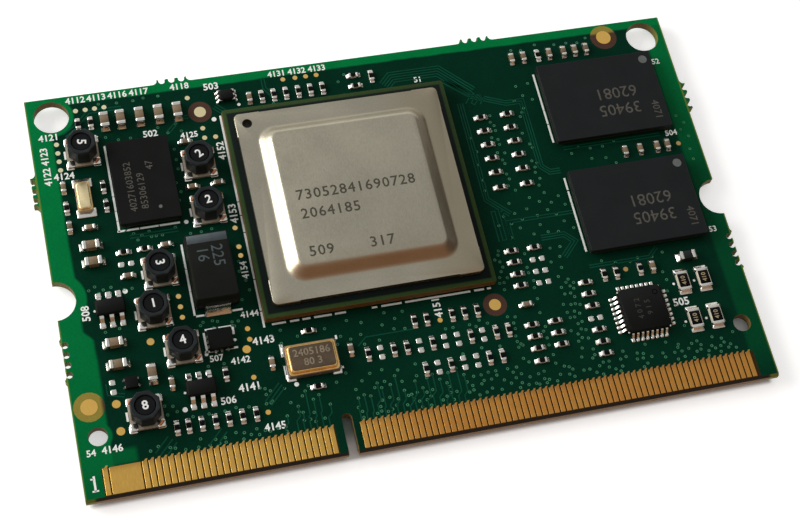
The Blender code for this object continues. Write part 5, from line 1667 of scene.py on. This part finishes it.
class MODULE_OT_leaded(Maker):
    """Makes the chips with gull-wing leads and the leadless one, with solder at each lead."""
    bl_idname = "module.leaded"
    bl_label = "Leaded chips"

    def make(self):
        part = sizes("packages")
        four, two, across = (0, 1, 2, 3), (1, 3), (0, 2)
        joints, faint, lines = Shape(), Shape(), Shape()
        six = ((part.six_width, part.six_depth, 1.0 * MM), 0.1 * MM, (0.4 * MM, 0.95 * MM), 3,
               0.95 * MM, two)
        for name, at, size, corner, (wide, reach), count, pitch, sides in (
                ("quad_chip", QUAD_AT, (part.quad, part.quad, 1.0 * MM), 0.35 * MM,
                 (0.22 * MM, 0.62 * MM), 8, 0.5 * MM, four),
                ("six_lead_chip_1", SIX_LEAD_AT[0], *six),
                ("six_lead_chip_2", SIX_LEAD_AT[1], *six),
                ("small_six_lead_chip", SMALL_SIX_AT, (1.5 * MM, 1.2 * MM, 0.55 * MM), 0.08 * MM,
                 (0.22 * MM, 0.3 * MM), 3, 0.5 * MM, across)):
            place = on_board(*at, part.film)
            width, depth, height = size
            low, high = 0.1 * MM, 0.1 * MM + height
            middle = (low + high) / 2
            rows = [ring(width - 2 * i * MM, depth - 2 * i * MM, corner, z, 1) for i, z in (
                (0.14, low), (0.1, low + 0.04 * MM), (0.0, middle), (0.09, high - 0.06 * MM),
                (0.15, high))]
            keep(name + "_body", Shape().loft(rows, place), "moulding", [name])
            middle_at = (at[0] * MM, at[1] * MM)
            spots = []
            for quarter in sides:
                out = width / 2 if quarter % 2 == 0 else depth / 2
                spots += beside_chip(middle_at, quarter, out, count, pitch, part.film)
            square = name == "quad_chip"
            form = lead(wide, reach, middle + (-0.06 if square else 0.065) * MM,
                        bends=(0.16, 0.5) if square else (0.3, 0.55))
            keep(name + "_leads", form, "solder_tin", spots=spots)
            pad = Shape().loft([ring(reach * 0.62 + i * MM, wide * 1.3 + i * MM, 0.05 * MM, z, 1,
                                     (reach * 0.78, 0.0))
                                for i, z in ((0.06, 0.0), (0.03, 0.05 * MM), (-0.06, 0.1 * MM))])
            grounded = [(x, y, 0.0, turn) for x, y, _, turn in spots]
            joints.add(copies(pad, grounded, "solder_tin"))
            if square:
                for quarter in range(4):
                    joints.box(0.22 * MM, 0.2 * MM, middle - 0.05 * MM, middle + 0.07 * MM,
                               place @ moved(turn=(quarter + 0.5) * QUARTER) @ moved(3.02 * MM))
                top = part.film + high
                sunk, wide_ring, bore = -0.006 * MM, 0.28 * MM, 0.21 * MM
                lines.loft([circle(r, z, 24) for r, z in (
                    (wide_ring, sunk), (wide_ring, 0.0), (bore, 0.0), (bore, sunk))],
                    on_board(at[0] + 1.45, at[1] + 1.45, top), hollow=True)
                faint.write([("4 0 7 2", at[0] - 0.6, at[1]), ("9 1 5", at[0] + 0.4, at[1])],
                            0.55, QUARTER, top - 0.004 * MM)
        keep("lead_joints", joints, "solder_tin")
        at = LEADLESS_AT
        body = Shape().box(2.3 * MM, 2.0 * MM, part.film, part.film + 0.75 * MM,
                           on_board(*at), 0.06 * MM, 0.03 * MM)
        keep("leadless_body", body, "moulding", ["leadless_chip"])
        body = Shape().box(1.25 * MM, 1.1 * MM, 0.03 * MM, 0.5 * MM, on_board(*SMALL_LEADLESS_AT),
                           0.04 * MM, 0.03 * MM)
        keep("small_leadless_body", body, "moulding")
        pads = [((SMALL_LEADLESS_AT[0] + 0.62 * side) * MM,
                 (SMALL_LEADLESS_AT[1] + along * 0.35) * MM, 0.0, 0.0 if side > 0 else 2 * QUARTER)
                for side in (-1, 1) for along in (-1, 1)]
        for quarter, out, pitch in ((0, 1.15, 0.5), (1, 1.0, 0.6), (2, 1.15, 0.5),
                                    (3, 1.0, 0.6)):
            pads += [(x * MM, y * MM, z, turn)
                     for x, y, z, turn in beside_chip(at, quarter, out, 3, pitch)]
        toe = Shape().loft([
            ring(w * MM, 0.26 * MM, 0.04 * MM, z * MM, 1, (x * MM, 0.0))
            for w, x, z in ((0.36, 0.02, 0.0), (0.3, 0.0, 0.1), (0.16, -0.04, 0.3))])
        keep("leadless_joints", toe, "solder_tin", spots=pads)
        keep("chip_figures", faint, "faint_figure")
        keep("quad_pin_ring", lines, "laser_mark")


# Printed lines: upright ones as x and runs of y, level ones as y and runs of x
UPRIGHT_LINES = (
    (18.97, ((37.3, 27.65), (27.35, 26.15), (25.85, 24.25), (23.95, 19.15), (18.85, 15.75),
             (15.45, 14.0))),
    (52.15, ((37.0, 32.8), (32.56, 31.16), (30.87, 28.95), (24.55, 23.38), (23.03, 21.87),
             (21.64, 16.35))),
    (7.08, ((35.7, 30.2), (29.95, 28.6), (28.35, 27.5), (27.25, 26.3))),
    (12.7, ((23.75, 21.3), (21.05, 18.9), (18.65, 16.15))),
    (16.0, ((14.6, 13.85),)),
    (13.2, ((14.25, 12.35),)),
    (20.07, ((11.8, 10.7), (9.6, 8.38))),
    (20.2, ((11.8, 10.7), (9.6, 8.38))),
    (25.5, ((11.8, 11.6), (8.6, 8.38))),
)
LEVEL_LINES = (
    (14.08, ((19.83, 21.0), (21.6, 22.3), (22.8, 23.4), (23.95, 25.5), (26.0, 26.9),
             (29.65, 30.0), (30.6, 32.45), (33.0, 39.4), (40.0, 40.8), (41.3, 41.5))),
    (26.25, ((7.0, 8.9), (9.2, 10.8), (11.1, 12.9))),
    (16.15, ((12.7, 13.5), (16.4, 17.2))),
    (14.62, ((13.45, 14.35), (14.75, 16.0))),
    (12.38, ((13.1, 14.15), (15.05, 16.05))),
    (8.38, ((20.2, 21.7), (23.9, 25.5))),
)
PRINT_DOTS = (
    (18.3, 37.1, 0.5), (21.08, 38.4, 0.35), (13.6, 26.2, 0.45), (6.65, 19.9, 0.5),
    (3.53, 18.35, 0.25), (10.2, 7.1, 0.5), (10.47, 8.73, 0.25), (13.1, 12.15, 0.35),
    (20.85, 7.68, 0.45), (16.0, 13.15, 0.3), (59.97, 11.27, 0.26), (62.15, 11.27, 0.26),
    (59.97, 7.13, 0.26), (62.15, 7.13, 0.26),
)
# Plain figures: what, x and y of the middle, height, and quarter turns
LABELS = (
    ("4112", 5.0, 41.4, 0.68, 0), ("4113", 7.1, 41.4, 0.68, 0), ("4116", 9.2, 41.4, 0.68, 0),
    ("4117", 11.35, 41.4, 0.68, 0), ("4118", 15.5, 41.4, 0.68, 0), ("4121", 1.85, 37.55, 0.7, 0),
    ("4122 4123", 1.2, 34.4, 0.7, 1), ("4124", 2.75, 33.05, 0.7, 0),
    ("502", 11.75, 36.45, 0.7, 0), ("4125", 15.55, 35.7, 0.62, 0), ("503", 18.65, 40.9, 0.75, 0),
    ("4131 4132 4133", 27.65, 41.35, 0.65, 0), ("51", 39.9, 38.4, 0.62, 0),
    ("52", 65.75, 36.6, 0.62, 0), ("504", 64.85, 27.95, 0.62, 0), ("53", 65.85, 16.45, 0.6, 0),
    ("505", 60.15, 9.25, 0.8, 0), ("506", 14.3, 7.25, 0.7, 0), ("4141", 16.5, 8.2, 0.75, 0),
    ("4142", 16.15, 11.0, 0.65, 0), ("507", 13.95, 11.6, 0.62, 0), ("4143", 18.65, 12.6, 0.75, 0),
    ("4144", 17.85, 15.5, 0.62, 0), ("4145", 18.1, 3.95, 0.72, 0), ("54", 1.15, 4.5, 0.62, 0),
    ("4146", 3.1, 4.55, 0.68, 0), ("4151", 35.9, 13.0, 0.75, 1),
    ("4152", 18.4, 33.45, 0.72, 1), ("4153", 18.3, 26.35, 0.75, 1),
    ("4154", 18.25, 20.15, 0.65, 1), ("508", 2.7, 18.25, 0.75, 1),
)


class MODULE_OT_print(Maker):
    """Makes the printed lines, dots and plain figures on the board."""
    bl_idname = "module.print"
    bl_label = "Printed marks"

    def make(self):
        print_ = sizes("print")
        half = print_.line / MM / 2
        paths = [((x, high + half), (x, low - half)) for x, runs in UPRIGHT_LINES
                 for high, low in runs]
        paths += [((left - half, y), (right + half, y)) for y, runs in LEVEL_LINES
                  for left, right in runs]
        for x, y in INDUCTORS_AT:
            side = x - 1.72
            paths.append(((side, y + 0.45), (side, y - 0.45)))
        lines = ribbons(paths, print_.line, 2 * print_.ink, "print_ink")
        keep("printed_lines", Shape().add(lines), "print_ink")
        keep("printed_dots", dots(PRINT_DOTS, print_.ink, "print_ink", 14), "print_ink")
        labels = Shape()
        for left, near, right, far in ((0.95, 0.9, 1.15, 2.35), (0.75, 0.85, 1.35, 1.0),
                                       (0.72, 2.0, 1.0, 2.15)):
            labels.box((right - left) * MM, (far - near) * MM, -print_.ink, print_.ink,
                       on_board((left + right) / 2, (near + far) / 2), edge=0.0, corner=0.0)
        for text, x, y, height, turns in LABELS:
            labels.write([(text, x, y)], height, QUARTER * turns, ink=print_.ink, bold=0.022)
        keep("printed_figures", labels, "print_ink")


class MODULE_OT_hidden(Maker):
    """Gives the silicon die and the windings, which keep their CAD shape, their finishes."""
    bl_idname = "module.hidden"
    bl_label = "Die and windings"

    def make(self):
        for start, finish in (("processor_die", "silicon"), ("inductor_winding", "copper_wire")):
            for name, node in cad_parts.items():
                if name.startswith(start):
                    for slot in node.material_slots:
                        slot.material = material(finish)


class MODULE_OT_stage(Maker):
    """Makes the pale floor, the soft light, the surroundings and the camera."""
    bl_idname = "module.stage"
    bl_label = "Stage"

    def make(self):
        scene = bpy.context.scene
        scene.view_settings.view_transform = 'Standard'
        self.floor()
        self.lamp()
        self.surroundings(scene)
        self.camera(scene)

    def floor(self):
        plane = bmesh.new()
        bmesh.ops.create_grid(plane, x_segments=8, y_segments=8, size=2.0)
        mesh = bpy.data.meshes.new("floor")
        plane.to_mesh(mesh)
        plane.free()
        mesh.transform(Matrix.Translation((0.0, 0.0, CAD_BOX[0][2])))
        made = Finish("floor_paper", 0.9)
        tone = made.shade((0.88, 0.88, 0.88), 0.985, 1.015, made.noise(60.0))
        x, y, _ = made.board_place()
        slot_shadow_middle, key_mouth, small_hole = (24.8, 3.6), (24.8, 3.2), (65.6, 6.0)
        # Painted shadow, tinted green, on the floor under the key slot.
        slot = made.step(made.away(x, y, *slot_shadow_middle), 2.6, 0.8)
        made.set(Base_Color=made.mix(slot * 0.8, tone, (0.13, 0.2, 0.17)))
        seen = made.node("ShaderNodeLightPath", out="Is Camera Ray") + made.node(
            "ShaderNodeLightPath", out="Is Glossy Ray")
        # Painted shade: the white glow is left off round the key slot's mouth, near the small hole
        # and under the board's near edge, so the floor there stays darker.
        shown = made.step(made.away(x, y, *key_mouth), 2.0, 3.8)
        shown = shown * made.step(made.away(x, y, *small_hole), 0.9, 2.4)
        under = made.band(y, -0.15, 3.0, 0.25) * made.band(x, 0.4, 67.2, 0.3)
        shown = shown * (1 - under) * 0.46
        glow = made.node("ShaderNodeEmission", sockets={"Color": (1.0, 1.0, 1.0),
                                                        "Strength": seen * shown})
        shader = Value(made, made.shader.outputs[0])
        both = made.node("ShaderNodeAddShader", sockets={0: shader, 1: glow})
        made.feed(made.tree.nodes["Material Output"].inputs["Surface"], both)
        mesh.materials.append(made.material)
        ground = bpy.data.objects.new("floor", mesh)
        bpy.context.scene.collection.objects.link(ground)

    def lamp(self):
        light = bpy.data.lights.new("window", 'AREA')
        light.shape, light.size, light.size_y = 'RECTANGLE', 0.42, 0.26
        light.energy, light.color = 2.2, (1.0, 0.985, 0.95)
        lamp = bpy.data.objects.new("window", light)
        spot = Vector((-0.8, 0.38, 0.42)).normalized() * 0.5
        lamp.location = spot
        lamp.rotation_euler = (-spot).to_track_quat('-Z', 'Y').to_euler()
        bpy.context.scene.collection.objects.link(lamp)

    def surroundings(self, scene):
        world = bpy.data.worlds.new("room")
        world.use_nodes = True
        scene.world = world
        room = Tree(world.node_tree)
        nodes = world.node_tree.nodes
        way = room.node("ShaderNodeTexCoord", out="Generated")
        across, along, up = room.apart(way)
        tone = (0.55, 0.555, 0.56)
        for share, glow in (
                (room.step(along, -0.2, -0.7) * room.step(up, 0.95, 0.6), (0.32, 0.18, 0.09)),
                (room.step(across, 0.35, 0.85) * room.step(up, 0.8, 0.3), (0.06, 0.045, 0.032)),
                (room.step(along, 0.5, 0.8) * room.step(up, 0.55, 0.25), (1.0, 1.0, 0.97))):
            tone = room.mix(share, tone, glow)
        seen = room.node("ShaderNodeLightPath", out="Is Camera Ray")
        shown = room.mix(seen, tone, (1.0, 1.0, 1.0))
        room.feed(nodes["Background"].inputs["Color"], shown)

    def camera(self, scene):
        data = bpy.data.cameras.new("camera")
        data.sensor_width = 36.0
        data.lens = 71.67
        data.clip_start, data.clip_end = 0.005, 10.0
        holder = bpy.data.objects.new("camera", data)
        right = Vector((0.96769785, -0.22353696, 0.11658515))
        up = Vector((0.15632312, 0.89481955, 0.41816392))
        back = right.cross(up)
        turn = Matrix((right, up, back)).transposed().to_4x4()
        holder.matrix_world = Matrix.Translation((-0.031396, -0.063437, 0.142474)) @ turn
        scene.collection.objects.link(holder)
        scene.camera = holder


class MODULE_PT_sizes(bpy.types.Panel):
    """Lists the module's sizes, colours and pieces."""
    bl_label = "System on module"
    bl_idname = "MODULE_PT_sizes"
    bl_space_type = 'VIEW_3D'
    bl_region_type = 'UI'
    bl_category = "Module"

    def draw(self, context):
        for group, kind in GROUPS.items():
            box = self.layout.box()
            box.label(text=group.capitalize())
            for field in kind.__annotations__:
                box.prop(sizes(group), field)
        for operator in OPERATORS:
            self.layout.operator(operator.bl_idname)


OPERATORS = (MODULE_OT_board, MODULE_OT_contacts, MODULE_OT_copper, MODULE_OT_print,
             MODULE_OT_processor, MODULE_OT_grid_chips, MODULE_OT_inductors,
             MODULE_OT_tantalum, MODULE_OT_cans, MODULE_OT_leaded, MODULE_OT_chips,
             MODULE_OT_hidden, MODULE_OT_stage)


def register():
    for kind in (*GROUPS.values(), *OPERATORS, MODULE_PT_sizes):
        bpy.utils.register_class(kind)
    for group, kind in GROUPS.items():
        setattr(bpy.types.Scene, "module_" + group, PointerProperty(type=kind))


def unregister():
    for group in GROUPS:
        delattr(bpy.types.Scene, "module_" + group)
    for kind in (MODULE_PT_sizes, *reversed(OPERATORS), *reversed(GROUPS.values())):
        bpy.utils.unregister_class(kind)


def main():
    """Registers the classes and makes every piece."""
    register()
    for operator in OPERATORS:
        family, action = operator.bl_idname.split(".")
        getattr(getattr(bpy.ops, family), action)()


if __name__ == "__main__":
    main()
